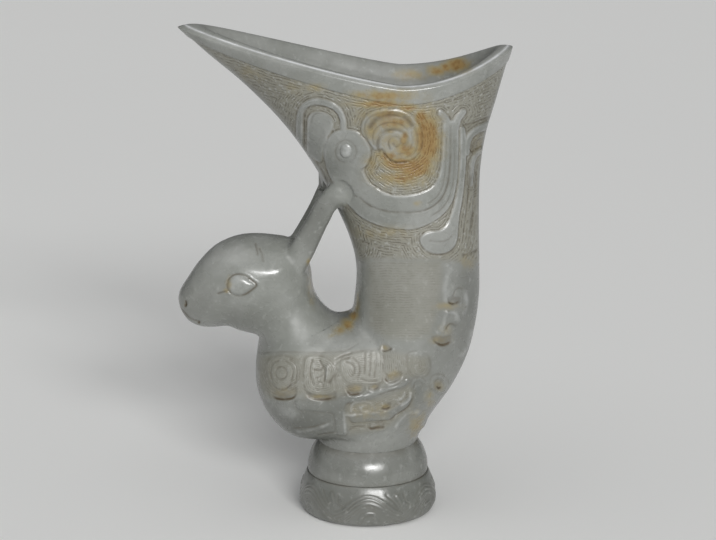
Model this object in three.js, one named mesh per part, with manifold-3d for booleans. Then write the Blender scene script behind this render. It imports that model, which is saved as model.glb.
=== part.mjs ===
// Jade wine cup: a drinking horn that rises from the breast of a small hornless beast and flares into
// a pointed spout. The beast's head looks forward under the spout, its two long ears lean back against
// the horn, and the whole stands on a round pedestal of two stones.
// Millimetres, +Z up, spout and head towards -X. The origin is the centre of the pedestal's underside.

import * as THREE from "three";
import { mergeVertices } from "three/addons/utils/BufferGeometryUtils.js";
import Module from "manifold-3d";

const wasm = await Module();
wasm.setup();

// Thickness of the raw slab, which both the mouth of the horn and the skirt of the pedestal use up
const SLAB_DEPTH = 48.4;

// Bed of cement between two stones
const JOINT_GAP = 0.3;

// Pedestal base: a swelling skirt with a tenon that runs up through the collar into the horn
const BASE_HEIGHT = 13.7;
const BASE_SOLE_INSET = 2.8;
const BASE_SWELL_INSET = 0.4;
const BASE_SWELL_RADIUS = SLAB_DEPTH / 2 - BASE_SWELL_INSET;
const BASE_SOLE_RADIUS = BASE_SWELL_RADIUS - BASE_SOLE_INSET;
const BASE_SWELL_HEIGHT = 5.2;
const BASE_SHOULDER_RADIUS = 21.6;
const BASE_SHOULDER_ROUND = 0.8;
const TENON_RADIUS = 6;
const TENON_RISE = 8;

// Pedestal collar: a plain rounded ring
const COLLAR_HEIGHT = 10.7;
const COLLAR_FOOT_RADIUS = 20.8;
const COLLAR_TOP_RADIUS = 17;
const COLLAR_UPRIGHT = 1.5;

// Horn, in the frame of its seat on the collar
const STEM_CENTRE = 17;
const STEM_WIDTH = 42;
const STEM_DEPTH = 39;
const STEM_RISE = 62;
const SPOUT_REACH = 63.3;
const SPOUT_RISE = 143.5;
const BACK_REACH = 48;
const BACK_RISE = 137;
const RIM_DIP_REACH = 11;
const RIM_DIP_RISE = 126.3;
const RIM_DEPTH = SLAB_DEPTH;
const RIM_SHARPNESS = 1.3;
const SPOUT_LIFT = 1.2;
const BACK_LIFT = 2;

// Wine well inside the horn
const STEM_WALL = 6;
const RIM_WALL = 3;
const SPOUT_WALL = 6.5;
const BACK_WALL = 4.5;
const WELL_FLOOR_RISE = 26;
const WELL_FLOOR_ROUND = 5;

// Horn outline between the seat, the stem and the rim: [x, z] of the front and of the back edge, and
// [x, half depth, z] of the widest point of the side. Above the stem the half depth is a share of the
// way from the stem's to the rim's.
const HORN_LOWER = [
  { front: [-20, 9], side: [1, 20, 9], back: [21.5, 9] },
  { front: [-19.5, 20], side: [5, 22, 20], back: [29, 20] },
  { front: [-14, 31], side: [10.5, 22, 31], back: [34.2, 31] },
  { front: [-8.5, 41], side: [14.3, 21, 41.3], back: [36.8, 41.5] },
  { front: [-4.8, 51], side: [16.7, 20, 51.5], back: [38, 52] },
];
const HORN_UPPER = [
  { front: [-6.3, 72], side: [15.8, 0, 73.5], back: [37.7, 75] },
  { front: [-11.5, 84], side: [14, 0.1, 84.5], back: [37.6, 86] },
  { front: [-18.5, 97], side: [12.5, 0.32, 95], back: [38, 97] },
  { front: [-28.5, 111], side: [11.5, 0.6, 105], back: [39.7, 108] },
  { front: [-41.2, 124.2], side: [11, 0.83, 114], back: [42.8, 119] },
  { front: [-54, 135], side: [11, 0.96, 121], back: [45.6, 129] },
];

// Breast, from inside the horn's foot to the seat of the neck
const BREAST = [
  { front: [-15, 2], side: [-7, 13, 4], back: [1, 6] },
  { front: [-26.5, 2.5], side: [-10, 18.5, 8.5], back: [6, 14] },
  { front: [-33.8, 8.8], side: [-14, 21, 16.5], back: [6, 24] },
  { front: [-38, 18], side: [-17.5, 21, 26], back: [3, 34] },
  { front: [-38.6, 27], side: [-20.8, 18.8, 34], back: [-3, 41] },
];

// Belly, which fills the fold between the horn and the breast so that they run into one body
const BELLY = [
  { front: [-24, 5], side: [-2, 18.6, 5], back: [20, 5] },
  { front: [-33, 10], side: [-6, 20.8, 10], back: [22, 10] },
  { front: [-37.5, 20], side: [-5, 22.3, 20], back: [28.5, 20] },
  { front: [-38, 30], side: [-3, 21.8, 30], back: [33, 30] },
  { front: [-36, 36], side: [1, 20.4, 36], back: [35.5, 36] },
  { front: [-15, 43], side: [10, 20, 43], back: [36.5, 43] },
];

const NECK_FRONT = [-37.6, 35];
const NECK_BACK = [-9, 44];
const NECK_DEPTH = 32;
const NECK_TENON_RADIUS = 6;
const NECK_TENON_LENGTH = 8;

// Head outline from the neck to the muzzle: the throat and jaw in front, the nape and crown behind
const HEAD = [
  { front: [-37.2, 36.5], side: [-25.5, 14.8, 42.5], back: [-14.3, 47.8] },
  { front: [-37.6, 37.5], side: [-28, 14.2, 46], back: [-18.3, 53.5] },
  { front: [-39, 38], side: [-31, 14.4, 51], back: [-19.6, 62] },
  { front: [-41.5, 38.5], side: [-34.5, 14.8, 55], back: [-24, 70] },
  { front: [-44.5, 39.3], side: [-39.5, 14.9, 57], back: [-33, 72.3] },
  { front: [-48, 40.7], side: [-46, 14, 58], back: [-43, 72.3] },
  { front: [-52.5, 40.2], side: [-52, 12, 56.5], back: [-51.5, 69] },
  { front: [-57.6, 40.5], side: [-57.5, 9.6, 53.5], back: [-57.5, 63.2] },
  { front: [-61.5, 42.5], side: [-61.8, 7.3, 51], back: [-61.8, 57] },
  { front: [-64, 46.5], side: [-64.2, 4.2, 50], back: [-64.3, 53] },
];
const MUZZLE_TIP = [-65, 50];

// Ears: flat straps let into the head at one end and into the horn at the other
const EAR_ROOT_WIDTH = 7.6;
const EAR_WIDTH = 6.3;
const EAR_THICKNESS = 5.4;
const EAR_SPREAD = 7.5;
const EAR_LET_IN = 3;
const EAR_BOW = 0.8;
const EAR_ROOT_STATION = 3.7;
const EAR_TIP_STATION = 8.35;

// Eyes: almond cabochons set in the sides of the head, round in front and pointed behind.
// The widest place is a share of the length, from the pointed corner.
const EYE_LENGTH = 9.8;
const EYE_HEIGHT = 7;
const EYE_THICKNESS = 2.6;
const EYE_STATION = 5.5;
const EYE_WIDEST = 0.64;

// Bosses: round cabochons set in the sides of the horn, below the spout
const BOSS_RADIUS = 2.4;
const BOSS_THICKNESS = 2.4;
const BOSS_STATION = 9.7;
const BOSS_ANGLE = 60;

// Fineness of the facets
const ROUND_SEGMENTS = 40;
const SMALL_SEGMENTS = 16;
const RINGS_PER_STATION = 2;

const JADE = { color: 0x8b8d88, roughness: 0.32, metalness: 0 };
const JADE_PALE = { color: 0x9c9ea0, roughness: 0.26, metalness: 0 };
const JADE_DUSKY = { color: 0x787a76, roughness: 0.36, metalness: 0 };

const mix = THREE.MathUtils.lerp;
const SEAT_HEIGHT = BASE_HEIGHT + JOINT_GAP + COLLAR_HEIGHT + JOINT_GAP;

// Joins and cuts

function solidOf(geometry) {
  const bare = geometry.clone();
  bare.deleteAttribute("normal");
  bare.deleteAttribute("uv");
  const merged = mergeVertices(bare, 1e-4);
  return new wasm.Manifold(
    new wasm.Mesh({
      numProp: 3,
      vertProperties: new Float32Array(merged.attributes.position.array),
      triVerts: new Uint32Array(merged.index.array),
    }),
  );
}

function geometryOf(solid) {
  const { vertProperties, triVerts } = solid.getMesh();
  const geometry = new THREE.BufferGeometry();
  geometry.setAttribute("position", new THREE.BufferAttribute(vertProperties, 3));
  geometry.setIndex(new THREE.BufferAttribute(triVerts, 1));
  return geometry;
}

// Lofts. A station is a closed ring through a front, a side and a back point, mirrored about the XZ plane,
// and a loft runs smoothly through its stations.

function railsOf(stations) {
  const curve = (points) => new THREE.CatmullRomCurve3(points);
  return {
    last: stations.length - 1,
    front: curve(stations.map(({ front: [x, z] }) => new THREE.Vector3(x, 0, z))),
    side: curve(stations.map(({ side: [x, y, z] }) => new THREE.Vector3(x, y, z))),
    back: curve(stations.map(({ back: [x, z] }) => new THREE.Vector3(x, 0, z))),
  };
}

// The three points of a loft at a station number, whole or between two stations
function sectionAt(rails, station) {
  const share = THREE.MathUtils.clamp(station / rails.last, 0, 1);
  return {
    front: rails.front.getPoint(share),
    side: rails.side.getPoint(share),
    back: rails.back.getPoint(share),
  };
}

// A point of a section's ring: angle 0 is the front, a quarter turn the side, a half turn the back.
// An end is round at sharpness 1 and comes to a point above it. Lift curves an end's rise to its point.
function ringPoint({ front, side, back, sharpness = 1, frontLift = 1, backLift = 1 }, angle) {
  const reach = Math.cos(angle);
  const turn = Math.sin(angle);
  const [end, lift] = reach >= 0 ? [front, frontLift] : [back, backLift];
  const share = Math.abs(reach);
  return new THREE.Vector3(
    mix(side.x, end.x, share),
    -side.y * Math.sign(turn) * Math.abs(turn) ** sharpness,
    mix(side.z, end.z, share ** lift),
  );
}

function ringOf(section, segments) {
  return Array.from({ length: segments }, (_, i) => ringPoint(section, (2 * Math.PI * i) / segments));
}

// A closed skin over rings of equal length, with its two ends capped
function skin(rings) {
  const segments = rings[0].length;
  const centre = (ring) =>
    ring.reduce((sum, point) => sum.add(point), new THREE.Vector3()).divideScalar(segments);
  const points = [...rings.flat(), centre(rings[0]), centre(rings.at(-1))];
  const startPole = rings.length * segments;
  const endPole = startPole + 1;
  const index = [];
  for (let i = 0; i < segments; i++) {
    const next = (i + 1) % segments;
    for (let r = 0; r + 1 < rings.length; r++) {
      const low = r * segments;
      const high = low + segments;
      index.push(low + i, low + next, high + next, low + i, high + next, high + i);
    }
    const end = (rings.length - 1) * segments;
    index.push(startPole, next, i, endPole, end + i, end + next);
  }
  return new THREE.BufferGeometry().setFromPoints(points).setIndex(index);
}

// A section grown outwards by a clearance, or shrunk by a negative one
function grown(section, clearance) {
  const along = section.back.clone().sub(section.front).normalize().multiplyScalar(clearance);
  return {
    ...section,
    front: section.front.clone().sub(along),
    back: section.back.clone().add(along),
    side: section.side.clone().setY(section.side.y + clearance),
  };
}

function stationNumbers(from, to) {
  const steps = Math.ceil((to - from) * RINGS_PER_STATION);
  return Array.from({ length: steps + 1 }, (_, i) => mix(from, to, i / steps));
}

// Outward frame of a loft's surface: a place on it and the normal there
function surfaceFrame(sectionOf, station, angle) {
  const step = 0.01;
  const at = (s, a) => ringPoint(sectionOf(s), a);
  const place = at(station, angle);
  const around = at(station, angle + step).sub(at(station, angle - step));
  const along = at(station + step, angle).sub(at(station - step, angle));
  return { place, normal: around.cross(along).normalize() };
}

// Pedestal

function baseGeometry() {
  const neck = BASE_HEIGHT + JOINT_GAP + COLLAR_HEIGHT + JOINT_GAP + TENON_RISE;
  const outline = new THREE.Path();
  outline.moveTo(0, 0);
  outline.lineTo(BASE_SOLE_RADIUS, 0);
  outline.quadraticCurveTo(BASE_SWELL_RADIUS, 0, BASE_SWELL_RADIUS, BASE_SWELL_HEIGHT);
  outline.quadraticCurveTo(
    BASE_SWELL_RADIUS,
    mix(BASE_SWELL_HEIGHT, BASE_HEIGHT, 0.5),
    BASE_SHOULDER_RADIUS,
    BASE_HEIGHT - BASE_SHOULDER_ROUND,
  );
  outline.lineTo(BASE_SHOULDER_RADIUS - BASE_SHOULDER_ROUND, BASE_HEIGHT);
  outline.lineTo(TENON_RADIUS, BASE_HEIGHT);
  outline.lineTo(TENON_RADIUS, neck);
  outline.lineTo(0, neck);
  return turned(outline, 4);
}

function collarGeometry() {
  const bore = TENON_RADIUS + JOINT_GAP;
  const outline = new THREE.Path();
  outline.moveTo(bore, 0);
  outline.lineTo(COLLAR_FOOT_RADIUS, 0);
  outline.lineTo(COLLAR_FOOT_RADIUS, COLLAR_UPRIGHT);
  outline.quadraticCurveTo(
    mix(COLLAR_FOOT_RADIUS, COLLAR_TOP_RADIUS, 0.05),
    mix(COLLAR_UPRIGHT, COLLAR_HEIGHT, 0.6),
    COLLAR_TOP_RADIUS,
    COLLAR_HEIGHT,
  );
  outline.lineTo(bore, COLLAR_HEIGHT);
  outline.lineTo(bore, 0);
  return turned(outline, 5);
}

// A solid of revolution about Z, from an outline of radius and height
function turned(outline, divisions) {
  const lathe = new THREE.LatheGeometry(outline.getPoints(divisions), ROUND_SEGMENTS);
  return lathe.rotateX(Math.PI / 2);
}

// Horn

const stem = {
  front: [STEM_CENTRE - STEM_WIDTH / 2, STEM_RISE],
  side: [STEM_CENTRE, STEM_DEPTH / 2, STEM_RISE],
  back: [STEM_CENTRE + STEM_WIDTH / 2, STEM_RISE],
};
const hornRails = railsOf([
  { front: [-COLLAR_TOP_RADIUS, 0], side: [0, COLLAR_TOP_RADIUS, 0], back: [COLLAR_TOP_RADIUS, 0] },
  ...HORN_LOWER,
  stem,
  ...HORN_UPPER.map(({ front, side: [x, share, z], back }) => ({
    front,
    side: [x, mix(STEM_DEPTH, RIM_DEPTH, share) / 2, z],
    back,
  })),
  {
    front: [-SPOUT_REACH, SPOUT_RISE],
    side: [RIM_DIP_REACH, RIM_DEPTH / 2, RIM_DIP_RISE],
    back: [BACK_REACH, BACK_RISE],
  },
]);
const STEM_STATION = HORN_LOWER.length + 1;
const RIM_STATION = hornRails.last;

// Share of the way from the stem to the rim, which is 0 below the stem
const flareShare = (station) =>
  THREE.MathUtils.clamp((station - STEM_STATION) / (RIM_STATION - STEM_STATION), 0, 1);

// The horn's sections turn from round at the stem to boat-shaped at the rim
function hornSection(station, clearance = 0) {
  const flare = flareShare(station) ** 2;
  const shape = {
    sharpness: mix(1, RIM_SHARPNESS, flare),
    frontLift: mix(1, SPOUT_LIFT, flare),
    backLift: mix(1, BACK_LIFT, flare),
  };
  return { ...grown(sectionAt(hornRails, station), clearance), ...shape };
}

function wellSection(station, round = 0) {
  const outer = hornSection(station);
  const flare = flareShare(station);
  const along = outer.back.clone().sub(outer.front).normalize();
  const frontWall = mix(STEM_WALL, SPOUT_WALL, flare) + round;
  const backWall = mix(STEM_WALL, BACK_WALL, flare) + round;
  const sideWall = mix(STEM_WALL, RIM_WALL, flare) + round;
  return {
    ...outer,
    front: outer.front.clone().addScaledVector(along, frontWall),
    back: outer.back.clone().addScaledVector(along, -backWall),
    side: outer.side.clone().setY(outer.side.y - sideWall),
  };
}

// The station whose side point lies at a given height
function stationAtRise(rise) {
  let [low, high] = [0, RIM_STATION];
  while (high - low > 1e-4) {
    const middle = (low + high) / 2;
    if (sectionAt(hornRails, middle).side.z < rise) low = middle;
    else high = middle;
  }
  return low;
}

// Rings of the well from its rounded floor up to the rim
function wellRings() {
  const floor = stationAtRise(WELL_FLOOR_RISE);
  const above = stationAtRise(WELL_FLOOR_RISE + WELL_FLOOR_ROUND);
  return [
    ringOf(wellSection(floor, WELL_FLOOR_ROUND), ROUND_SEGMENTS),
    ringOf(wellSection(mix(floor, above, 0.4), WELL_FLOOR_ROUND * 0.35), ROUND_SEGMENTS),
    ...stationNumbers(above, RIM_STATION).map((s) => ringOf(wellSection(s), ROUND_SEGMENTS)),
  ];
}

const hornRings = (clearance = 0) =>
  stationNumbers(0, RIM_STATION).map((s) => ringOf(hornSection(s, clearance), ROUND_SEGMENTS));

const hornShell = () => solidOf(skin([...hornRings(), ...wellRings().reverse()]));
const hornSolid = (clearance) => solidOf(skin(hornRings(clearance)));
const wellSolid = () => solidOf(skin(wellRings()));

// Breast and neck

const neckSeat = {
  front: NECK_FRONT,
  side: [mix(NECK_FRONT[0], NECK_BACK[0], 0.5), NECK_DEPTH / 2, mix(NECK_FRONT[1], NECK_BACK[1], 0.5)],
  back: NECK_BACK,
};
const neckCentre = new THREE.Vector3(neckSeat.side[0], 0, neckSeat.side[2]);
const neckNormal = new THREE.Vector3(
  NECK_FRONT[1] - NECK_BACK[1],
  0,
  NECK_BACK[0] - NECK_FRONT[0],
).normalize();

function loftSolid(stations) {
  const rails = railsOf(stations);
  return solidOf(
    skin(stationNumbers(0, rails.last).map((s) => ringOf(sectionAt(rails, s), ROUND_SEGMENTS))),
  );
}

// Breast and belly, level with the seat of the neck
function breastSolid() {
  const below = neckNormal.clone().negate();
  const belly = loftSolid(BELLY).trimByPlane(below.toArray(), below.dot(neckCentre));
  return loftSolid([...BREAST, neckSeat]).add(belly);
}

// Tenon of the neck, standing down from the seat into the breast
function neckTenon(clearance) {
  const length = NECK_TENON_LENGTH + clearance;
  const overlap = 2;
  const tenon = new THREE.CylinderGeometry(
    NECK_TENON_RADIUS + clearance,
    NECK_TENON_RADIUS + clearance,
    length + overlap,
    SMALL_SEGMENTS * 2,
  );
  tenon.translate(0, (overlap - length) / 2, 0);
  tenon.applyQuaternion(new THREE.Quaternion().setFromUnitVectors(new THREE.Vector3(0, 1, 0), neckNormal));
  return solidOf(tenon.translate(neckCentre.x, 0, neckCentre.z));
}

// Head

const headRails = railsOf([neckSeat, ...HEAD]);
const headSection = (station) => sectionAt(headRails, station);

function headSolid() {
  const rings = stationNumbers(0, headRails.last).map((s) => ringOf(headSection(s), ROUND_SEGMENTS));
  const lift = neckNormal.clone().multiplyScalar(JOINT_GAP);
  rings[0].forEach((point) => point.add(lift));
  const [tipX, tipZ] = MUZZLE_TIP;
  const tip = new THREE.Vector3(tipX, 0, tipZ);
  const muzzle = rings.at(-1).map((point) => point.clone().lerp(tip, 0.75).setX(tipX));
  return solidOf(skin([...rings, muzzle]));
}

// Ears. The point of a section's upper front or back edge that lies at a given distance from the XZ plane
function edgePoint({ side, front, back }, edge, distance) {
  const end = edge === "front" ? front : back;
  const share = Math.sqrt(1 - (distance / side.y) ** 2);
  return new THREE.Vector3(mix(side.x, end.x, share), 0, mix(side.z, end.z, share));
}

function earSolid(clearance = 0) {
  const root = edgePoint(headSection(EAR_ROOT_STATION), "back", EAR_SPREAD);
  const tip = edgePoint(hornSection(EAR_TIP_STATION), "front", EAR_SPREAD);
  const along = tip.clone().sub(root).normalize();
  const across = new THREE.Vector3(-along.z, 0, along.x);
  root.addScaledVector(along, -EAR_LET_IN - clearance);
  tip.addScaledVector(along, EAR_LET_IN + clearance);
  const middle = root.clone().lerp(tip, 0.5).addScaledVector(across, EAR_BOW);
  const path = new THREE.QuadraticBezierCurve3(root, middle, tip);
  const steps = 12;
  const rings = Array.from({ length: steps + 1 }, (_, i) => {
    const share = i / steps;
    const centre = path.getPoint(share);
    const halfWidth = mix(EAR_ROOT_WIDTH, EAR_WIDTH, Math.min(1, 2 * share)) / 2 + clearance;
    return ringOf(
      {
        front: centre.clone().addScaledVector(across, halfWidth),
        side: centre.clone().setY(EAR_THICKNESS / 2 + clearance),
        back: centre.clone().addScaledVector(across, -halfWidth),
      },
      SMALL_SEGMENTS,
    );
  });
  return solidOf(skin(rings));
}

// Cabochons: shapes with their thickness along Y, later turned to the surface that holds them

function eyeGeometry(clearance = 0) {
  const steps = 8;
  const rings = Array.from({ length: steps + 1 }, (_, i) => {
    const share = Math.sin((Math.PI / 2) * mix(0.05, 0.9, i / steps));
    const past = (share - EYE_WIDEST) / (1 - EYE_WIDEST);
    const swell = past < 0 ? Math.sin((Math.PI / 2) * (share / EYE_WIDEST)) : Math.sqrt(1 - past ** 2);
    const x = EYE_LENGTH * (0.5 - share);
    const halfHeight = (EYE_HEIGHT / 2) * swell + clearance;
    const halfThick = (EYE_THICKNESS / 2) * swell ** 0.6 + clearance;
    return ringOf(
      {
        front: new THREE.Vector3(x, 0, -halfHeight),
        side: new THREE.Vector3(x, halfThick, 0),
        back: new THREE.Vector3(x, 0, halfHeight),
      },
      SMALL_SEGMENTS,
    );
  });
  const stretch = 1 + (2 * clearance) / EYE_LENGTH;
  return skin(rings).scale(stretch, 1, 1);
}

function bossGeometry(clearance = 0) {
  const ball = new THREE.SphereGeometry(1, SMALL_SEGMENTS, SMALL_SEGMENTS / 2);
  const radius = BOSS_RADIUS + clearance;
  return ball.scale(radius, BOSS_THICKNESS / 2 + clearance, radius);
}

// Rotation that turns a cabochon's nearer face to a surface's normal without rolling it
function facing(normal) {
  const out = new THREE.Vector3(0, Math.sign(normal.y), 0);
  return new THREE.Quaternion().setFromUnitVectors(out, normal);
}

const mirrored = ({ place, normal }) => ({
  place: place.clone().setY(-place.y),
  normal: normal.clone().setY(-normal.y),
});

const eyeSeat = surfaceFrame(headSection, EYE_STATION, Math.PI / 2);
const bossSeat = surfaceFrame(hornSection, BOSS_STATION, THREE.MathUtils.degToRad(BOSS_ANGLE));

// A clearance pocket for a cabochon at its seat
function pocket(geometryFor, seat) {
  const placed = geometryFor(JOINT_GAP).applyQuaternion(facing(seat.normal));
  return solidOf(placed.translate(seat.place.x, seat.place.y, seat.place.z));
}

function pocketPair(geometryFor, seat) {
  return pocket(geometryFor, seat).add(pocket(geometryFor, mirrored(seat)));
}

function earSockets() {
  const socket = earSolid(JOINT_GAP);
  return socket.translate(0, -EAR_SPREAD, 0).add(socket.translate(0, EAR_SPREAD, 0));
}

function footSocket() {
  const depth = TENON_RISE + JOINT_GAP;
  const radius = TENON_RADIUS + JOINT_GAP;
  const overlap = 2;
  const bore = new THREE.CylinderGeometry(radius, radius, depth + overlap, ROUND_SEGMENTS);
  return solidOf(bore.rotateX(Math.PI / 2).translate(0, 0, (depth - overlap) / 2));
}

// The two carved stones, with what is let into them cut out

function hornCupGeometry() {
  const body = hornShell().add(breastSolid().subtract(wellSolid()));
  return geometryOf(
    body
      .subtract(footSocket())
      .subtract(neckTenon(JOINT_GAP))
      .subtract(earSockets())
      .subtract(pocketPair(bossGeometry, bossSeat)),
  );
}

function headGeometry() {
  const carved = headSolid().subtract(hornSolid(JOINT_GAP));
  return geometryOf(
    carved.add(neckTenon(0)).subtract(earSockets()).subtract(pocketPair(eyeGeometry, eyeSeat)),
  );
}

// Assembly

function named(name, geometry, finish) {
  const mesh = new THREE.Mesh(geometry, new THREE.MeshStandardMaterial(finish));
  mesh.name = name;
  return mesh;
}

function cabochon(name, geometry, seat) {
  const mesh = named(name, geometry, JADE_PALE);
  mesh.position.copy(seat.place);
  mesh.quaternion.copy(facing(seat.normal));
  return mesh;
}

function ear(name, spread) {
  const mesh = named(name, geometryOf(earSolid()), JADE_PALE);
  mesh.position.y = spread;
  return mesh;
}

const pedestal = new THREE.Group();
const collar = named("foot_collar", collarGeometry(), JADE_PALE);
collar.position.z = BASE_HEIGHT + JOINT_GAP;
pedestal.add(named("foot_base", baseGeometry(), JADE_DUSKY), collar);

const beast = new THREE.Group();
beast.position.z = SEAT_HEIGHT;
beast.add(
  named("horn_cup", hornCupGeometry(), JADE),
  named("head", headGeometry(), JADE),
  ear("left_ear", -EAR_SPREAD),
  ear("right_ear", EAR_SPREAD),
  cabochon("left_eye", eyeGeometry(), eyeSeat),
  cabochon("right_eye", eyeGeometry(), mirrored(eyeSeat)),
  cabochon("left_boss", bossGeometry(), bossSeat),
  cabochon("right_boss", bossGeometry(), mirrored(bossSeat)),
);

const cup = new THREE.Group();
cup.add(pedestal, beast);

export default cup;
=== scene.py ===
"""Jade wine cup: a carved drinking horn with a beast's head, on a pedestal foot.

Lengths in this file are millimetres unless a name says otherwise. Heights of the horn, the beast and the
ears count from the seat, the plane where the horn stands on the collar of the foot.
"""

import math
from collections import namedtuple
from functools import partial

import bpy
import numpy as np
from bpy.props import FloatProperty, FloatVectorProperty, PointerProperty
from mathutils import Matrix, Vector
from mathutils.kdtree import KDTree


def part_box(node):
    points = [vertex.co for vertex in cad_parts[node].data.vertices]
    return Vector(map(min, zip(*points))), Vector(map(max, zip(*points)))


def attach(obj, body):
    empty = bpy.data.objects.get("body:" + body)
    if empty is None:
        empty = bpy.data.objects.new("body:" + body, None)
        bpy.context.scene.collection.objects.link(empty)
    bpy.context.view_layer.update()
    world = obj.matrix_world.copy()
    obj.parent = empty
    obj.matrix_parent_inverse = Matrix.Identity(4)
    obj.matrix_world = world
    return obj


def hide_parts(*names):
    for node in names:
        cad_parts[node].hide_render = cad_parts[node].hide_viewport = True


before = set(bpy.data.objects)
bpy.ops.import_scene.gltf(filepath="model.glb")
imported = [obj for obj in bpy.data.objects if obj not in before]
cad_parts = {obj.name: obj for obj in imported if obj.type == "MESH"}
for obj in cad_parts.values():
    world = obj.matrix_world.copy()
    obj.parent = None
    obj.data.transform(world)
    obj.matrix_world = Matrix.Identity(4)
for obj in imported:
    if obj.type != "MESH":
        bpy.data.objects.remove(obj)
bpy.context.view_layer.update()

bl_info = {
    "name": "Jade wine cup",
    "version": (1, 0, 0),
    "blender": (4, 5, 0),
    "location": "3D View > Sidebar > Wine Cup",
    "description": "Models a carved jade drinking horn with a beast's head, and its studio",
    "category": "Object",
}

MM = 0.001
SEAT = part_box("horn_cup")[0].z / MM
TINY = 1e-9
# Points closer together than the weld are merged; faces that meet at more than the sharp edge are shaded apart.
WELD, SHARP_EDGE = 0.001, math.radians(60)

# The view. The carving is laid out on a squared drawing of the left side as this view shows it, with about
# three squares to the millimetre. A place on the drawing is counted from its top left corner.
VIEW_AIM = np.array([-3.4, 0.0, 85.0])
VIEW_TILT = math.radians(14)
VIEW_DISTANCE = 800.0
DRAWING_WIDTH, DRAWING_HEIGHT = 716, 540
DRAWING_FOCUS = 2344.0
FORWARD = np.array([0.0, math.cos(VIEW_TILT), -math.sin(VIEW_TILT)])
UPWARD = np.array([0.0, math.sin(VIEW_TILT), math.cos(VIEW_TILT)])
EYE_POINT = VIEW_AIM - FORWARD * VIEW_DISTANCE

# Three rails of a lofted form: its front and back edges as (x, z) and its side as (x, half depth, z).
Rails = namedtuple("Rails", "front side back")

HORN = Rails(
    front=[(-17, -5), (-17, 0), (-20, 9), (-19.5, 20), (-14, 31), (-6.9, 41), (-4.6, 51), (-4, 62), (-6.3, 72),
           (-11.5, 84), (-18.5, 97), (-28.5, 111), (-41.2, 124.2), (-54, 135), (-63.3, 143.5), (-70, 150)],
    side=[(0, 17, -5), (0, 17, 0), (1, 20, 9), (5, 22, 20), (10.5, 22, 31), (14.3, 21, 41.3), (16.7, 20, 51.5),
          (17, 19.5, 62), (15.8, 19.5, 73.5), (14, 20, 84.5), (12.5, 21, 95), (11.5, 22.3, 105), (11, 23.4, 114),
          (11, 24, 121), (11, 24.2, 126.3), (11, 24.4, 133)],
    back=[(17, -5), (17, 0), (21.5, 9), (29, 20), (34.2, 31), (36.8, 41.5), (38, 52), (38, 62), (37.7, 75), (37.6, 86),
          (38, 97), (39.7, 108), (42.8, 119), (45.6, 129), (48, 137), (49.5, 145)],
)
STEM_STATION, RIM_STATION = 7, 14
RIM_SHARPNESS, SPOUT_LIFT, BACK_LIFT = 1.3, 1.2, 2.0
RIM_RUN_ON = 1.2

# The beast from its breast through the neck to the tip of the muzzle: front is throat and jaw, back is nape and brow.
BEAST = Rails(
    front=[(-15, 2), (-26.5, 2.5), (-33.8, 8.8), (-38, 18), (-38.6, 27), (-37.6, 35), (-37.2, 36.5), (-37.6, 37.5),
           (-39, 38), (-41.5, 38.5), (-44.5, 39.3), (-48, 40.7), (-52.5, 40.2), (-57.6, 40.5), (-61.5, 42.5),
           (-64, 46.5), (-65, 50)],
    side=[(-7, 13, 4), (-10, 18.5, 8.5), (-14, 21, 16.5), (-17.5, 21, 26), (-20.8, 18.8, 34), (-23.3, 16, 39.5),
          (-25.5, 14.8, 42.5), (-28, 14.2, 46), (-31, 14.4, 51), (-34.5, 14.8, 55), (-39.5, 14.9, 57), (-46, 14, 58),
          (-52, 12, 56.5), (-57.5, 9.6, 53.5), (-61.8, 7.3, 51), (-64.2, 4.2, 50), (-65, 0, 50)],
    back=[(1, 6), (6, 14), (6, 24), (3, 34), (-3, 40.6), (-9, 43.2), (-14.6, 47), (-18.5, 53.3), (-19.8, 62), (-24, 70),
          (-33, 72.3), (-43, 72.3), (-51.5, 69), (-57.5, 63.2), (-61.8, 57), (-64.3, 53), (-65, 50)],
)

# The belly fills the fold between the horn and the breast, so that they run into one body.
BELLY = Rails(
    front=[(-24, 5), (-33, 10), (-37.5, 20), (-38, 30), (-36, 35), (-26, 39), (-17, 41.8), (-12, 43.2)],
    side=[(-2, 18.6, 5), (-6, 20.8, 10), (-5, 22.3, 20), (-3, 21.8, 30), (0, 20.6, 35), (5, 18.4, 39), (9, 14.5, 43),
          (12, 9, 48.5)],
    back=[(20, 5), (22, 10), (28.5, 20), (33, 30), (35.5, 35), (36.3, 40), (36.5, 45), (36, 54)],
)

# The left ear's middle line as (x, y, z) from inside the head to its tip on the horn's wall, with its half width and
# half thickness.
EAR_LINE = [(-27, -6, 61), (-21.9, -7.2, 69.5), (-16.9, -8.2, 79.2), (-13.6, -10.2, 85.6), (-11, -12, 88.6),
            (-8.6, -13.2, 90)]
EAR_HALF_WIDTH = [5.2, 4.3, 3.7, 3.9, 4.2, 4.2]
EAR_HALF_THICKNESS = [4.0, 3.0, 2.7, 2.6, 2.5, 2.3]
EAR_SQUARENESS = 0.8

# Where the head is parted from the breast, as (x, z), and the horn from the top down: each upper piece and its foot.
NECK_FRONT, NECK_BACK = (-37.6, 35), (-9, 44)
HORN_SPLITS = (("horn_upper", 94.0), ("horn_middle", 47.0))

# The wall, the width of the rim band in stations, and the well with its lining.
RIM_WALL, SPOUT_WALL, BACK_WALL, STEM_WALL = 5.6, 6.5, 6.0, 6.0
BAND_STATIONS_SIDE, BAND_STATIONS_SPOUT, BAND_STATIONS_BACK = 1.0, 0.4, 0.6
WELL_FLOOR_STATION = 3.6
LINING_THICKNESS, LINING_CLEARANCE = 1.2, 0.4


# ---------------------------------------------------------------------------------------------------------
# Curves and rails
# ---------------------------------------------------------------------------------------------------------

def smooth_step(low, high, value):
    t = np.clip((value - low) / (high - low), 0, 1)
    return t * t * (3 - 2 * t)


def mix(a, b, share):
    return a + (b - a) * share


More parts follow.
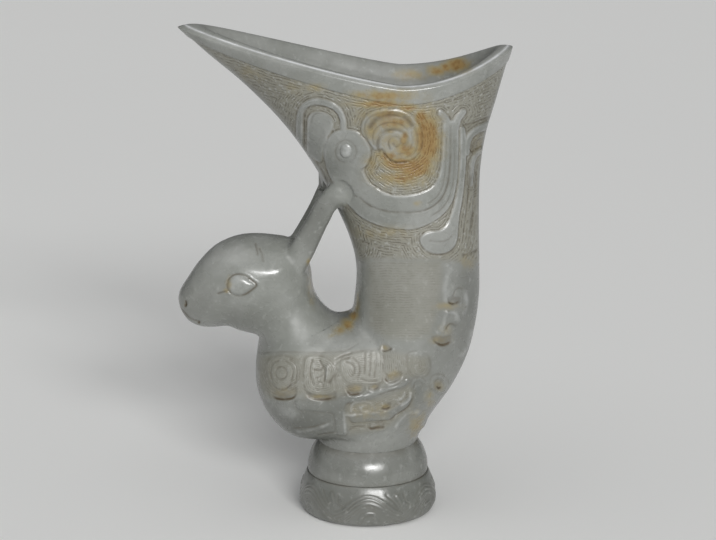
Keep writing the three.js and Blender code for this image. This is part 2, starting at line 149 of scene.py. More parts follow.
def fall_off(distance, reach):
    """1 at no distance, falling softly to almost nothing at twice the reach."""
    return np.exp(-(distance / reach) ** 2)


def unit(vectors):
    return vectors / np.linalg.norm(vectors, axis=-1, keepdims=True)


def curve_at(points, station):
    """Places on the smooth curve through points, at stations counted in points from 0."""
    p = np.asarray(points, float).reshape(len(points), -1)
    p = np.vstack([2 * p[0] - p[1], p, 2 * p[-1] - p[-2]])
    station = np.asarray(station, float)
    i = np.clip(station.astype(int), 0, len(points) - 2)
    t = (station - i)[..., None]
    a, b, c, d = p[i], p[i + 1], p[i + 2], p[i + 3]
    return 0.5 * (2 * b + (c - a) * t + (2 * a - 5 * b + 4 * c - d) * t ** 2 + (3 * b - a - 3 * c + d) * t ** 3)


def smooth_line(points, per_span=6):
    """The smooth curve through points as a fine polyline."""
    return curve_at(points, np.linspace(0, len(points) - 1, per_span * (len(points) - 1) + 1))


def ring_point(front, side, back, angle, sharpness=1.0, front_lift=1.0, back_lift=1.0):
    """Points round a section, from its front edge at angle 0 over the left side to its back edge at pi."""
    reach, turn = np.cos(angle), np.sin(angle)
    ahead = (reach >= 0)[..., None]
    end = np.where(ahead, front, back)
    share = np.abs(reach)
    lift = np.where(reach >= 0, front_lift, back_lift)
    x = mix(side[..., 0], end[..., 0], share)
    z = mix(side[..., 2], end[..., 1], share ** lift)
    y = -np.sign(turn) * side[..., 1] * np.abs(turn) ** sharpness
    return np.stack([x, y, z], -1)


def rails_point(rails, station, angle):
    return ring_point(*(curve_at(rail, station) for rail in rails), angle)


def flare_share(station):
    return np.clip((station - STEM_STATION) / (RIM_STATION - STEM_STATION), 0, 1)


def horn_point(station, angle, inset=0.0):
    """A point of the horn's outer wall, or of the well when inset is 1."""
    flare = flare_share(station)
    front, side, back = (curve_at(rail, station) for rail in HORN)
    front = front + np.stack([inset * mix(STEM_WALL, SPOUT_WALL, flare), 0 * flare], -1)
    side = side - np.stack([0 * flare, inset * mix(STEM_WALL, RIM_WALL, flare), 0 * flare], -1)
    back = back - np.stack([inset * mix(STEM_WALL, BACK_WALL, flare), 0 * flare], -1)
    bend = flare ** 2
    return ring_point(front, side, back, angle, mix(1, RIM_SHARPNESS, bend), mix(1, SPOUT_LIFT, bend),
                      mix(1, BACK_LIFT, bend))


def rim_height(x):
    """Height of the rim's edge above the seat, at a place along the cup."""
    front, side, back = (curve_at(rail, np.array(float(RIM_STATION))) for rail in HORN)
    ahead = np.clip((side[0] - x) / (side[0] - front[0]), 0, RIM_RUN_ON)
    behind = np.clip((x - side[0]) / (back[0] - side[0]), 0, RIM_RUN_ON)
    return side[2] + (front[1] - side[2]) * ahead ** SPOUT_LIFT + (back[1] - side[2]) * behind ** BACK_LIFT


# ---------------------------------------------------------------------------------------------------------
# Modelling by hand
# ---------------------------------------------------------------------------------------------------------

def show_only(*objects):
    """Leaves object mode with these objects selected, the first one active."""
    if bpy.context.object and bpy.context.object.mode != "OBJECT":
        bpy.ops.object.mode_set(mode="OBJECT")
    bpy.ops.object.select_all(action="DESELECT")
    for obj in objects:
        obj.select_set(True)
    bpy.context.view_layer.objects.active = objects[0] if objects else None


def numbers_of(items, key):
    """Rows of three numbers, one row for each item of a mesh."""
    numbers = np.empty(len(items) * 3, np.float32)
    items.foreach_get(key, numbers)
    return numbers.reshape(-1, 3).astype(float)


def points_of(obj):
    return numbers_of(obj.data.vertices, "co") / MM


def normals_of(obj):
    return numbers_of(obj.data.vertices, "normal")


def face_centres(obj):
    return numbers_of(obj.data.polygons, "center") / MM


def move_points(obj, points):
    obj.data.vertices.foreach_set("co", (np.asarray(points) * MM).astype(np.float32).ravel())
    obj.data.update()


def begin_edit(obj, faces=None):
    """Goes into edit mode on obj with some faces selected, or with all of them."""
    show_only(obj)
    bpy.context.tool_settings.mesh_select_mode = (False, False, True)
    mesh = obj.data
    for kind in (mesh.vertices, mesh.edges):
        kind.foreach_set("select", np.zeros(len(kind), bool))
    mesh.polygons.foreach_set("select", np.ones(len(mesh.polygons), bool) if faces is None else faces)
    bpy.ops.object.mode_set(mode="EDIT")


def end_edit():
    bpy.ops.object.mode_set(mode="OBJECT")


def sheet(name, rows):
    """A grid bent to rows of points; a last row or column that meets the first one is merged with it."""
    count, columns = rows.shape[:2]
    show_only()
    bpy.ops.mesh.primitive_grid_add(x_subdivisions=columns - 1, y_subdivisions=count - 1, size=1)
    obj = bpy.context.object
    obj.name = obj.data.name = name
    flat = points_of(obj) * MM + 0.5
    i = np.rint(flat[:, 1] * (count - 1)).astype(int)
    j = np.rint(flat[:, 0] * (columns - 1)).astype(int)
    move_points(obj, rows[i, j])
    begin_edit(obj)
    bpy.ops.mesh.remove_doubles(threshold=WELD * MM)
    end_edit()
    return obj


def close_up(obj):
    """Fills the open ends and turns all faces outwards."""
    begin_edit(obj)
    bpy.ops.mesh.fill_holes(sides=0)
    bpy.ops.mesh.select_all(action="SELECT")
    bpy.ops.mesh.normals_make_consistent(inside=False)
    end_edit()
    return obj


def bridge_ends(obj):
    """Joins the two open edge loops of obj with a ring of faces."""
    begin_edit(obj)
    bpy.ops.mesh.select_mode(type="EDGE")
    bpy.ops.mesh.select_all(action="DESELECT")
    bpy.ops.mesh.select_non_manifold(extend=False, use_wire=False, use_boundary=True, use_multi_face=False,
                                     use_non_contiguous=False, use_verts=False)
    bpy.ops.mesh.bridge_edge_loops()
    bpy.ops.mesh.select_all(action="SELECT")
    bpy.ops.mesh.normals_make_consistent(inside=False)
    end_edit()


def apply_modifier(obj, kind, **settings):
    show_only(obj)
    modifier = obj.modifiers.new(kind.lower(), kind)
    for key, value in settings.items():
        setattr(modifier, key, value)
    bpy.ops.object.modifier_apply(modifier=modifier.name)


def join(objects):
    show_only(*objects)
    bpy.ops.object.join()
    return objects[0]


def cut(obj, point, normal, faces=None, **clear):
    """Bisects the chosen faces with a plane."""
    begin_edit(obj, faces)
    bpy.ops.mesh.bisect(plane_co=np.asarray(point) * MM, plane_no=normal, **clear)
    end_edit()


def take_off(obj, name, faces):
    """Separates the chosen faces of obj into a new piece."""
    begin_edit(obj, faces)
    bpy.ops.mesh.separate(type="SELECTED")
    end_edit()
    piece = next(o for o in bpy.context.selected_objects if o != obj)
    piece.name = piece.data.name = name
    return piece


def mirror_copy(obj, name):
    """A copy of obj on the other side of the cup."""
    show_only(obj)
    bpy.ops.object.duplicate()
    copy = bpy.context.object
    copy.name = copy.data.name = name
    move_points(copy, points_of(copy) * (1, -1, 1))
    begin_edit(copy)
    bpy.ops.mesh.flip_normals()
    end_edit()
    return copy


def paint(obj, name, values):
    """Keeps one number for each vertex, for the material to read."""
    layer = obj.data.attributes.get(name) or obj.data.attributes.new(name, "FLOAT", "POINT")
    layer.data.foreach_set("value", np.asarray(values, np.float32))


def painted(obj, name):
    values = np.empty(len(obj.data.vertices), np.float32)
    obj.data.attributes[name].data.foreach_get("value", values)
    return values.astype(float)


def finish_piece(obj, slot, *nodes):
    show_only(obj)
    bpy.ops.object.shade_smooth_by_angle(angle=SHARP_EDGE)
    # Paints the shade patches, the dull polish and the earth stain onto the piece by its place on the drawing.
    for layer, shapes in (("cloud_and_shade", SHADE_PATCHES), ("dull", DULL), ("stain", STAINS)):
        if layer not in obj.data.attributes:
            paint(obj, layer, patches(shapes, drawing_place(points_of(obj))))
    obj.data.materials.clear()
    obj.data.materials.append(bpy.data.materials[f"{slot}_finish"])
    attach(obj, "root")
    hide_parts(*nodes)


# ---------------------------------------------------------------------------------------------------------
# The drawing of the carving
# ---------------------------------------------------------------------------------------------------------

def drawing_place(points, mirrored=True):
    """Places of 3D points on the drawing, with the right side folded over onto the left."""
    folded = points * (1, -1, 1)
    offset = np.where((mirrored & (points[:, 1] > 0))[:, None], folded, points) - EYE_POINT
    depth = offset @ FORWARD
    across = DRAWING_WIDTH / 2 + DRAWING_FOCUS * offset[:, 0] / depth
    down = DRAWING_HEIGHT / 2 - DRAWING_FOCUS * (offset @ UPWARD) / depth
    return np.stack([across, down], 1)


def facing_view(points, normals):
    """How squarely the surface faces the view on its own side, from 0 to 1."""
    folded = np.where((points[:, 1] > 0)[:, None], normals * (1, -1, 1), normals)
    return np.clip(-(folded @ FORWARD), 0, 1)


def drop_on(obj, places):
    """Points and normals of obj where sight lines through places of the drawing meet it."""
    start = Vector(EYE_POINT * MM)
    found = []
    for across, down in places:
        ray = FORWARD * DRAWING_FOCUS + UPWARD * (DRAWING_HEIGHT / 2 - down)
        ray[0] += across - DRAWING_WIDTH / 2
        hit, point, normal, _ = obj.ray_cast(start, Vector(ray).normalized())
        if not hit:
            raise RuntimeError(f"the drawing's place {across:.0f}, {down:.0f} is off {obj.name}")
        found.append((np.array(point) / MM, np.array(normal)))
    return np.array([p for p, _ in found]), np.array([n for _, n in found])


def distance_to(line, places):
    """Distance of places from a polyline, and how far along the line the nearest spot is, from 0 to 1."""
    lengths = np.hypot(*np.diff(line, axis=0).T)
    run = np.concatenate([[0], np.cumsum(lengths)])
    nearest = np.full(len(places), np.inf)
    along = np.zeros(len(places))
    for a, b, length, start in zip(line[:-1], line[1:], lengths, run):
        t = np.clip((places - a) @ (b - a) / max(length, TINY) ** 2, 0, 1)
        d = np.hypot(*(places - a - t[:, None] * (b - a)).T)
        closer = d < nearest
        nearest = np.where(closer, d, nearest)
        along = np.where(closer, (start + t * length) / run[-1], along)
    return nearest, along


def inside(outline, places):
    """Which places a closed polyline goes round."""
    odd = np.zeros(len(places), bool)
    x, y = places.T
    for (ax, ay), (bx, by) in zip(outline, np.roll(outline, -1, 0)):
        if ay != by:
            odd ^= ((ay > y) != (by > y)) & (x < (bx - ax) * (y - ay) / (by - ay) + ax)
    return odd


def near(line, places, margin):
    low, high = line.min(0) - margin, line.max(0) + margin
    return np.nonzero(((places >= low) & (places <= high)).all(1))[0]


def depth_inside(outline, places):
    """How far inside a closed smooth outline places are: negative outside."""
    edge, _ = distance_to(np.vstack([outline, outline[:1]]), places)
    return np.where(inside(outline, places), edge, -edge)


def closed_line(points, per_span=5):
    """The smooth closed curve through points."""
    wrapped = list(points[-2:]) + list(points) + list(points[:3])
    stations = np.linspace(2, len(points) + 2, per_span * len(points), endpoint=False)
    return curve_at(wrapped, stations)


# Raised bands: half width at their start and end in squares, height, and places along the middle.
BANDS = {
    "arch": (3.6, 3.2, 0.4, [
        (300.5, 152), (299.8, 136), (300, 119), (303, 108.5), (310.5, 102.6), (320, 101.6), (331, 105),
        (339.3, 111.5), (343, 120.5), (343.6, 130),
    ]),
    "arch tongue": (2.0, 1.5, 0.2, [(324.5, 128), (326, 140), (324.3, 151), (326, 160)]),
    "spout feather": (2.2, 1.4, 0.2, [(308, 152), (313, 162), (320, 172), (326, 184)]),
    "front edge": (1.8, 1.3, 0.2, [(339, 205), (344, 218), (349.5, 233), (353, 246)]),
    "fork left": (4.2, 3.2, 0.4, [(449, 128), (446.3, 120), (441, 113)]),
    "fork right": (4.2, 3.2, 0.4, [(455, 128), (457.5, 119.5), (463, 112)]),
    "back hook": (4.0, 3.0, 0.6, [(494, 122), (485, 126), (476.5, 130), (470.3, 135.5), (467, 143), (466, 153)]),
    "back curl": (2.6, 2.2, 0.5, [
        (489, 145.5), (483, 149), (476.5, 153.5), (472.8, 160), (471.3, 170), (470.5, 184),
    ]),
    "flank rib": (1.3, 1.1, 0.2, [(417.5, 355), (418.5, 363), (421, 371)]),
    "flank ring": (1.8, 1.5, 0.3, [
        (432.5, 387), (432.3, 381), (436.5, 376.8), (442.5, 378), (446, 383.5), (444, 390), (438.5, 392),
    ]),
}

# Raised fields: height and the places round their edge.
FIELDS = {
    "bird": (0.4, [
        (347, 129), (357, 131.5), (365, 138), (370, 147), (370.5, 156), (367, 164), (364, 169.5), (366, 176),
        (370, 183), (377, 188.3), (385, 192.6), (394, 195.3), (405, 195.6), (417, 193.6), (427, 190), (434.5, 184),
        (439, 174), (441.5, 158), (442.3, 140), (442.5, 126), (445, 121), (451, 120), (457, 121.5), (458.3, 130),
        (458.5, 150), (458, 170), (456, 187), (452.5, 201), (446.5, 210.5), (438, 218.5), (428, 224.3), (415, 228.7),
        (401, 229.4), (386, 227.3), (372, 222.8), (361, 217), (351, 207.5), (344, 200), (339, 192), (333, 182),
        (328, 171), (325, 160), (324.5, 150), (327, 140), (333, 132.8), (340, 129.8),
    ]),
    "spiral": (0.4, [
        (372.5, 147), (365, 140), (361.5, 131), (362, 122), (367, 114.5), (377, 110.5), (390, 109.3), (402, 111),
        (412, 116), (418.5, 123.5), (421.5, 134), (421, 146), (417.5, 154), (410.5, 160), (400, 162.3),
        (391.5, 160.5), (386, 154.5), (382.5, 148.5), (378.5, 149.8), (375, 149.5),
    ]),
    "arch panel": (0.14, [
        (307.5, 152), (307, 135), (308, 118), (314, 112), (324, 112.5), (332, 118), (333, 128), (326, 140),
        (323, 152), (321, 162), (313, 158),
    ]),
    "plume": (0.4, [
        (460, 128), (464, 127), (466.3, 140), (466, 160), (464.5, 180), (462, 200), (459.5, 215), (458, 230),
        (457, 240), (453, 248), (446, 253), (437, 254), (428, 251.5), (422, 246), (419.5, 239.5), (423, 234.5),
        (430, 231.5), (440, 230), (446.5, 225), (450.5, 216), (454, 203), (457.5, 185), (459.5, 160),
    ]),
    "breast eye": (0.1, [
        (268, 361), (276, 356.5), (286, 357), (295, 361), (299.3, 370), (298, 379), (293, 384), (286, 388),
        (281, 389.5), (276, 387.5), (271, 382.5), (267, 373),
    ]),
    "wing": (0.12, [
        (305.5, 358), (314, 355.5), (323, 357), (331, 361.5), (336, 370), (334, 380), (335.5, 389), (330, 394),
        (320, 395.5), (311, 394), (305, 388.5), (303.5, 374),
    ]),
    "feathers": (0.1, [
        (341, 359), (350, 354.5), (362, 351.8), (374, 350.7), (382, 352), (383, 364), (382.5, 375), (380, 382.5),
        (371, 384.3), (361, 383.8), (352, 384), (345, 380), (340.5, 371),
    ]),
    "ribbon": (0.34, [
        (296, 401), (308, 402), (322, 402.5), (334, 400), (341, 396.5), (350, 395.5), (362, 395.5), (372, 392.5),
        (380, 389.5), (388, 387.5), (396, 386), (402, 382.5), (406, 379), (409, 381), (405, 386), (398, 389),
        (388, 391.5), (379, 395.5), (372, 399.5), (362, 401), (352, 401.5), (346.5, 404), (344.5, 412), (345, 424),
        (346, 434), (337, 434), (335.5, 422), (333, 413), (322, 411.5), (308, 410.5), (298, 409),
    ]),
    "low ribbon": (0.32, [
        (350, 416), (360, 414), (370, 412.3), (378, 412.3), (386, 411.5), (393, 408), (399, 404.5), (404, 400.5),
        (409, 396), (412, 397.5), (410, 404), (404, 409.5), (397, 414), (391, 418.5), (384, 420.3), (372, 420.8),
        (362, 422), (352, 422),
    ]),
    "flank": (0.08, [(408, 355), (419, 352.5), (427.5, 356.5), (429.5, 367), (425.5, 375), (416, 377), (409.5, 370)]),
}

# Cut lines: half width in squares, depth, and places along them.
LINES = {
    "disc ring": (1.0, 0.12, [
        (335.5, 151), (338.5, 143.3), (346, 139.8), (353.5, 143.3), (356.5, 151), (353.5, 159), (346, 162.2),
        (338.5, 159), (335.5, 151),
    ]),
    "disc edge": (1.0, 0.2, [(361, 135), (367, 139.7), (370.8, 147), (371.2, 155), (368.5, 164), (362, 169.7)]),
    "neck dash": (0.9, 0.2, [(352, 194.5), (354.5, 195.3), (357, 196.5)]),
    "arch line": (0.9, 0.25, [
        (304, 150), (304, 128), (304.3, 113), (307.5, 108.3), (313, 106.7), (322, 106.8), (331, 109.5), (337, 114.3),
        (339.8, 121),
    ]),
    "arch ring": (0.8, 0.14, [(311, 122), (313.3, 115.5), (318, 113.2), (325, 114.5), (329.5, 118), (333, 122.5)]),
    "spiral groove": (2.4, 0.3, [
        (370, 127), (373, 122.5), (378, 118), (385, 115.5), (393, 115), (401, 116.3), (407, 119.5), (412, 125.5),
    ]),
    "spiral groove 2": (1.9, 0.3, [
        (379, 151), (377.5, 145), (379, 138), (383, 132.5), (390, 130), (397, 130.5), (403, 133), (407, 138),
        (406.5, 143), (403, 145.5),
    ]),
    "spiral curl": (1.0, 0.2, [
        (390, 148.5), (388.3, 142), (391, 137.5), (396, 136.5), (400, 139.5), (399.5, 144.5), (395.5, 146.5),
        (393, 143.5),
    ]),
    "spiral foot": (1.0, 0.28, [(383.5, 153), (387, 158), (392.5, 161), (400, 162.7), (409, 161.7)]),
    "spiral rim line": (0.8, 0.12, [
        (367.5, 139), (364.8, 131), (365.5, 123), (370, 117), (378, 113.6), (390, 112.3), (401, 113.8), (410, 118.3),
    ]),
    "spiral inner line": (0.8, 0.14, [
        (374.5, 145), (372.8, 138), (374, 131), (378.5, 126), (386, 122.8), (394, 122.6), (402, 125), (408, 130),
    ]),
    "spiral line": (0.9, 0.16, [(414, 128), (417.3, 136), (417, 146), (413, 153.5), (405.5, 158)]),
    "spiral line 2": (0.9, 0.14, [(411, 133), (412.3, 140), (410.5, 147), (405, 152.5), (397.5, 154)]),
    "row line 1": (0.9, 0.18, [(360.5, 241.3), (364, 242), (368.5, 243.8)]),
    "row line 2": (0.9, 0.14, [(375, 245.5), (379, 247), (384, 247.3)]),
    "row line 3": (0.9, 0.12, [(390, 243.5), (396, 242.3), (402, 244), (408, 246.5)]),
    "row line 4": (0.9, 0.12, [(388, 238), (394, 236), (401, 237), (407, 240)]),
    "breast smile": (1.0, 0.25, [(272, 384), (276, 388), (281.5, 390), (287, 388), (291, 384)]),
    "ribbon groove": (1.1, 0.2, [
        (360, 197.5), (367, 203.3), (376, 208), (384, 210.3), (394, 211.9), (408, 212.4), (418, 211.7), (427, 209.3),
        (435, 204.5), (442, 197), (446.3, 187), (448.8, 174), (450, 158), (450.3, 140), (450, 126),
    ]),
    "ribbon line": (0.8, 0.12, [(428, 203.5), (437, 196), (442, 186), (444.6, 172), (445.7, 155), (446, 138)]),
    "ribbon line 2": (0.8, 0.14, [(430, 216.5), (440, 209.5), (448, 199), (452.3, 184), (454, 165), (454.3, 140)]),
    "plume line": (0.9, 0.2, [(470, 168), (468.6, 190), (466.5, 214), (464, 232)]),
    "plume line 2": (0.9, 0.2, [(476, 172), (475, 192), (472.5, 215), (470, 232)]),
    "lobe line": (0.9, 0.16, [(430, 240.5), (437, 241.7), (446, 240.2), (451.5, 235.5)]),
    "lobe edge": (1.0, 0.2, [(423.5, 249), (431, 253.6), (440, 254.6), (449, 252.3), (455.5, 247), (458.5, 240)]),
    "back groove": (1.1, 0.25, [(460, 126.7), (466, 125), (475, 122.3), (483, 119.5), (492, 116)]),
    "back groove 2": (0.9, 0.22, [(473, 138), (480, 134.2), (490, 131)]),
    "tail groove": (1.0, 0.25, [(463, 255), (470, 253.3), (477, 250)]),
    "hook arch": (1.0, 0.3, [(453.5, 296), (455.3, 291.5), (458, 288.4), (463.5, 288)]),
    "low hook arch": (1.0, 0.3, [(446.5, 328.5), (449, 325), (452, 323.9), (456, 325.3)]),
    "breast border": (0.9, 0.1, [
        (250, 353), (272, 352), (300, 352), (320, 352.3), (340, 351.5), (350, 348.5), (358, 343),
    ]),
    "breast eye ring": (0.9, 0.16, [
        (275.5, 373), (277.5, 368), (282, 366.8), (286.3, 370), (286.3, 376), (282, 379.2), (277.5, 378),
        (275.5, 373),
    ]),
    "breast arc 1": (0.8, 0.16, [(286, 361), (291, 365.5), (293, 372), (291.5, 380)]),
    "breast arc 2": (0.8, 0.16, [(279, 360.5), (273, 363.5), (270.5, 371), (272, 379.5)]),
    "breast arc 3": (0.8, 0.16, [(290, 359), (295, 364), (297, 371), (296, 380)]),
    "wing arc 1": (0.9, 0.18, [(312, 360), (310, 368), (310.5, 377), (313.5, 385)]),
    "wing arc 2": (0.9, 0.22, [(320, 361), (322.3, 367), (320, 370.3), (314, 370)]),
    "wing arc 3": (0.9, 0.18, [(324.5, 373), (321.5, 376), (316.5, 378)]),
    "wing ring": (0.8, 0.16, [(315.5, 386.5), (318, 382.8), (322, 383.5), (323, 387.5), (319.8, 390.3), (316, 389)]),
    "wing fold": (0.9, 0.2, [(323.5, 366), (324.8, 374), (324, 382)]),
    "leaf line 1": (1.1, 0.28, [(329, 383), (333, 377), (338.5, 370)]),
    "leaf line 2": (0.9, 0.2, [(336, 363.3), (342, 359.5), (349, 358)]),
    "leaf line 3": (0.9, 0.2, [(336, 359), (343, 355.5), (351, 353)]),
    "leaf arc 1": (0.9, 0.16, [(346, 362), (352, 364.5), (354.5, 370.5), (351.5, 377)]),
    "leaf arc 2": (0.9, 0.16, [(353, 358), (358.5, 364), (359.5, 372), (356.5, 379)]),
    "feather line 1": (0.8, 0.16, [(364.3, 353), (365, 362), (364.3, 374)]),
    "feather line 2": (0.8, 0.16, [(369.6, 352), (370.4, 362), (369.4, 376)]),
    "feather line 3": (0.8, 0.16, [(375, 352), (375.8, 363), (374.3, 377)]),
    "feather foot": (0.9, 0.22, [(361, 379), (368, 381.5), (376.5, 380.8)]),
    "ribbon low line": (0.8, 0.2, [(347, 404), (362, 401), (375, 396), (387, 391.8), (398, 388.8)]),
    "flank line": (1.1, 0.28, [(391, 420), (396, 415), (403, 411), (408.5, 406.5), (412, 399)]),
    "flank arc 1": (0.8, 0.14, [(410, 385), (413, 379), (419, 377.3), (425, 380), (426.5, 386)]),
    "flank arc 2": (0.8, 0.14, [(413.5, 388), (415, 383), (419, 381.3), (422.5, 384), (422, 389)]),
    "belly line 1": (0.8, 0.18, [(294, 428), (310, 427.3), (320, 425), (330, 421.5)]),
    "belly line 2": (0.8, 0.18, [(318, 435.5), (328, 433.3), (338, 432.3)]),
    "belly line 3": (0.9, 0.2, [(350, 429.5), (356, 426.7), (363, 426.6)]),
}

# Soft ridges, in the same way as the lines.
RIDGES = {
    "stem lobe": (3.2, 0.34, [(451.5, 269.5), (449.5, 276), (447.3, 284), (446.3, 293), (446.5, 300)]),
    "stem limb": (2.2, 0.28, [(464.5, 290), (466, 297), (465.5, 305), (463.5, 313)]),
    "low hook": (1.9, 0.42, [(447.5, 312.5), (445.5, 319), (443.5, 326), (442, 331)]),
    "low hook top": (1.8, 0.28, [(447.5, 312.5), (452, 312), (456.5, 314.5), (458, 320)]),
    "flank border": (1.7, 0.34, [(471.5, 331), (468.5, 341), (465, 349), (461, 356)]),
    "left curl": (1.8, 0.2, [(259, 372), (260.5, 382), (263.5, 392), (269, 400)]),
    "belly lump": (6.0, 0.16, [(286, 408), (291, 413.5)]),
    "belly ridge": (1.6, 0.26, [(298, 431), (311, 430), (322, 427), (331, 422)]),
    "ribbon scroll": (1.2, 0.3, [
        (351, 411), (351.5, 406), (355, 402.6), (363, 401.6), (369.5, 403.2), (371.5, 407), (369.8, 411.3),
        (364.8, 412.4), (361, 409.6), (362, 406.4), (366, 405.8),
    ]),
    "scroll foot": (1.2, 0.24, [(345.5, 415), (350, 415.3), (355, 414.5)]),
    "tail arc": (1.2, 0.26, [(401, 405), (405.5, 402.5), (409.3, 398.5), (410.6, 393)]),
    "tail arc 2": (1.1, 0.2, [(398, 400.5), (402.5, 397.5), (404.6, 393)]),
    "low pocket crest": (1.1, 0.26, [(372, 426.3), (377, 425.3), (381.5, 424.5)]),
    "bar edge": (1.3, 0.24, [(344, 413), (344.6, 421), (345.2, 431)]),
    "tail ridge": (1.8, 0.22, [(396, 427), (401, 419.5), (409, 413.5), (418, 412)]),
    "wing glint": (1.3, 0.5, [(327.8, 366.5), (327.3, 372), (326.6, 379)]),
    "pocket lip": (1.4, 0.24, [(389, 385.5), (396, 382.5), (401.5, 378)]),
}

# Sunk pockets: depth and the places round their edge.
POCKETS = {
    "back hook pocket": (0.5, [
        (469.5, 148), (473.5, 142), (480, 138), (486.5, 136), (486.5, 142), (480, 147), (473, 153),
    ]),
    "hook pocket": (0.45, [(447, 297.5), (452, 296.5), (460.5, 297), (460, 301.5), (454, 304.5), (449, 303)]),
    "low hook pocket": (0.55, [
        (431, 337.5), (437, 335.5), (444, 336), (451, 334.5), (452.5, 339.5), (447, 344.8), (439, 345),
    ]),
    "breast pocket": (0.25, [
        (271, 388), (276, 390.5), (282, 392), (289, 389.5), (296, 385), (297, 392), (293, 398.5), (282, 400),
        (273, 397),
    ]),
    "wing pocket": (0.5, [
        (303.5, 389.5), (308, 391.5), (313, 394), (320, 395), (329, 394.5), (336, 392), (335.5, 397), (329, 399.5),
        (320, 400.3), (312, 399), (306.5, 395.5),
    ]),
    "feather pocket": (0.55, [
        (345.5, 387), (350, 384.5), (357, 384), (364, 385.5), (366, 389), (362, 393), (355, 395), (349, 394),
    ]),
    "feather pocket 2": (0.45, [(368, 385.5), (373, 384), (379, 383), (379, 387), (374.5, 390), (369.5, 389.8)]),
    "shield tip": (0.45, [(382.3, 343.5), (386.5, 343), (391.5, 348.5), (388, 351), (382.6, 351)]),
    "shield pocket": (0.5, [
        (383.5, 370), (387, 373.5), (393, 375), (399.5, 371), (402, 374), (400.3, 379), (395, 382.3), (389.5, 383),
        (385, 379.5),
    ]),
    "scroll pocket": (0.35, [
        (382.5, 406), (386.5, 402.5), (391.3, 402.7), (390.5, 407), (386.5, 409.7), (382, 409.3),
    ]),
    "scroll pocket 2": (0.35, [
        (367, 425), (370, 422.3), (377, 421), (384.5, 421.5), (383.7, 427.5), (377, 428.5), (371, 429.5),
    ]),
    "flank eye": (0.25, [(436, 385), (438.5, 381.5), (442, 383.5), (441, 387.7), (438, 388.7)]),
}

# Ground that is cut with fine lines: how deeply they show, and the places round the ground's edge. On the upper
# ground and on the breast they follow the edges of the raised carving and of the rim band; on the stem they run level.
UPPER_GROUND = (1.0, [
    (190, 40), (520, 36), (520, 230), (478, 262), (430, 259), (352, 259), (345, 212), (325, 188), (290, 140),
    (240, 88),
])
BREAST_FINENESS, GROUND_FADE = 1.35, 5.0
BREAST_GROUND = (0.72, [
    (256, 356), (300, 354), (350, 352), (383, 350), (404, 354), (428, 358), (428, 374), (405, 378), (398, 382),
    (380, 387), (345, 395), (318, 396), (297, 394), (266, 398), (258, 380),
])
STEM_GROUND = (0.56, [
    (368, 260), (442, 260), (441, 285), (438, 310), (430, 334), (412, 340), (385, 338), (369, 326), (368, 290),
])
LOW_GROUND = (0.8, [
    (347, 404), (362, 402), (380, 397), (398, 390.5), (408, 385), (414, 392), (411, 406), (400, 417), (389, 426),
    (370, 431), (350, 434), (346, 420),
])
RIM_LINE = [
    (190, 44), (205, 50), (230, 57), (255, 65), (275, 73), (300, 80), (320, 87), (340, 93), (360, 98), (380, 102.5),
    (405, 105), (430, 105), (450, 101), (475, 92), (496, 80),
]

# Earth stain: middle place, half width and half height in squares, and strength.
STAINS = [
    (408, 108, 16, 6, 0.8), (421, 118, 11, 13, 0.9), (430, 140, 13, 30, 1.0), (424, 161, 13, 14, 0.9),
    (405, 137, 5, 9, 0.85), (390, 131, 9, 4, 0.6), (379, 155, 8, 6, 0.5), (392, 97, 17, 7, 0.7),
    (362, 95, 16, 6, 0.6), (392, 105, 14, 2.5, 0.9), (316, 88, 14, 6, 0.4), (250, 74, 18, 12, 0.3),
    (295, 88, 14, 10, 0.3), (357, 297, 4, 10, 0.4), (356, 306, 5, 9, 0.6), (353, 315, 6, 9, 0.85),
    (348, 324, 8, 8, 0.8), (341, 330, 9, 7, 0.6), (333, 335, 8, 5, 0.35), (418, 425, 12, 18, 0.5),
    (430, 398, 7, 14, 0.35), (284, 393, 15, 8, 0.3), (467, 263, 9, 11, 0.35), (447, 306, 16, 5, 0.4),
    (380, 232, 44, 9, 0.35), (480, 146, 11, 14, 0.3), (393, 375, 9, 6, 0.42), (320, 397.5, 15, 4, 0.48),
    (355, 389, 10, 5, 0.42), (441, 340, 13, 6, 0.42), (376, 426, 10, 5, 0.3), (457, 65, 16, 9, 1.0),
    (438, 71, 16, 7, 0.8), (446, 68, 9, 7, 0.9), (410, 75, 22, 7, 0.55), (386, 407, 7, 4, 0.5),
    (438, 386, 8, 7, 0.35), (385, 348, 5, 4, 0.5), (374, 387, 5, 3, 0.45), (310, 283, 4, 20, 0.35),
    (389, 115, 26, 9, 0.8), (375, 124, 8, 12, 0.6), (392, 140, 20, 14, 0.46), (404, 140, 7, 10, 0.8),
    (372, 165, 12, 14, 0.5), (400, 180, 34, 12, 0.5), (361, 116, 10, 14, 0.45), (417, 203, 5, 4, 0.5),
    (399, 164, 24, 10, 1.0), (388, 156, 18, 10, 0.78), (406, 150, 18, 13, 0.78), (393, 122, 34, 11, 0.74),
    (374, 128, 15, 20, 0.6), (380, 104, 34, 6, 0.86), (386, 96, 40, 8, 0.76), (402, 178, 34, 11, 0.74),
    (414, 168, 24, 15, 1.05), (427, 140, 17, 34, 1.1), (229, 283, 4, 9, 0.42), (226.5, 290.5, 4, 3, 0.5),
    (309, 262, 3.5, 5, 0.6), (312, 300, 4, 14, 0.3), (370, 412, 26, 12, 0.3), (445, 330, 8, 8, 0.35),
]
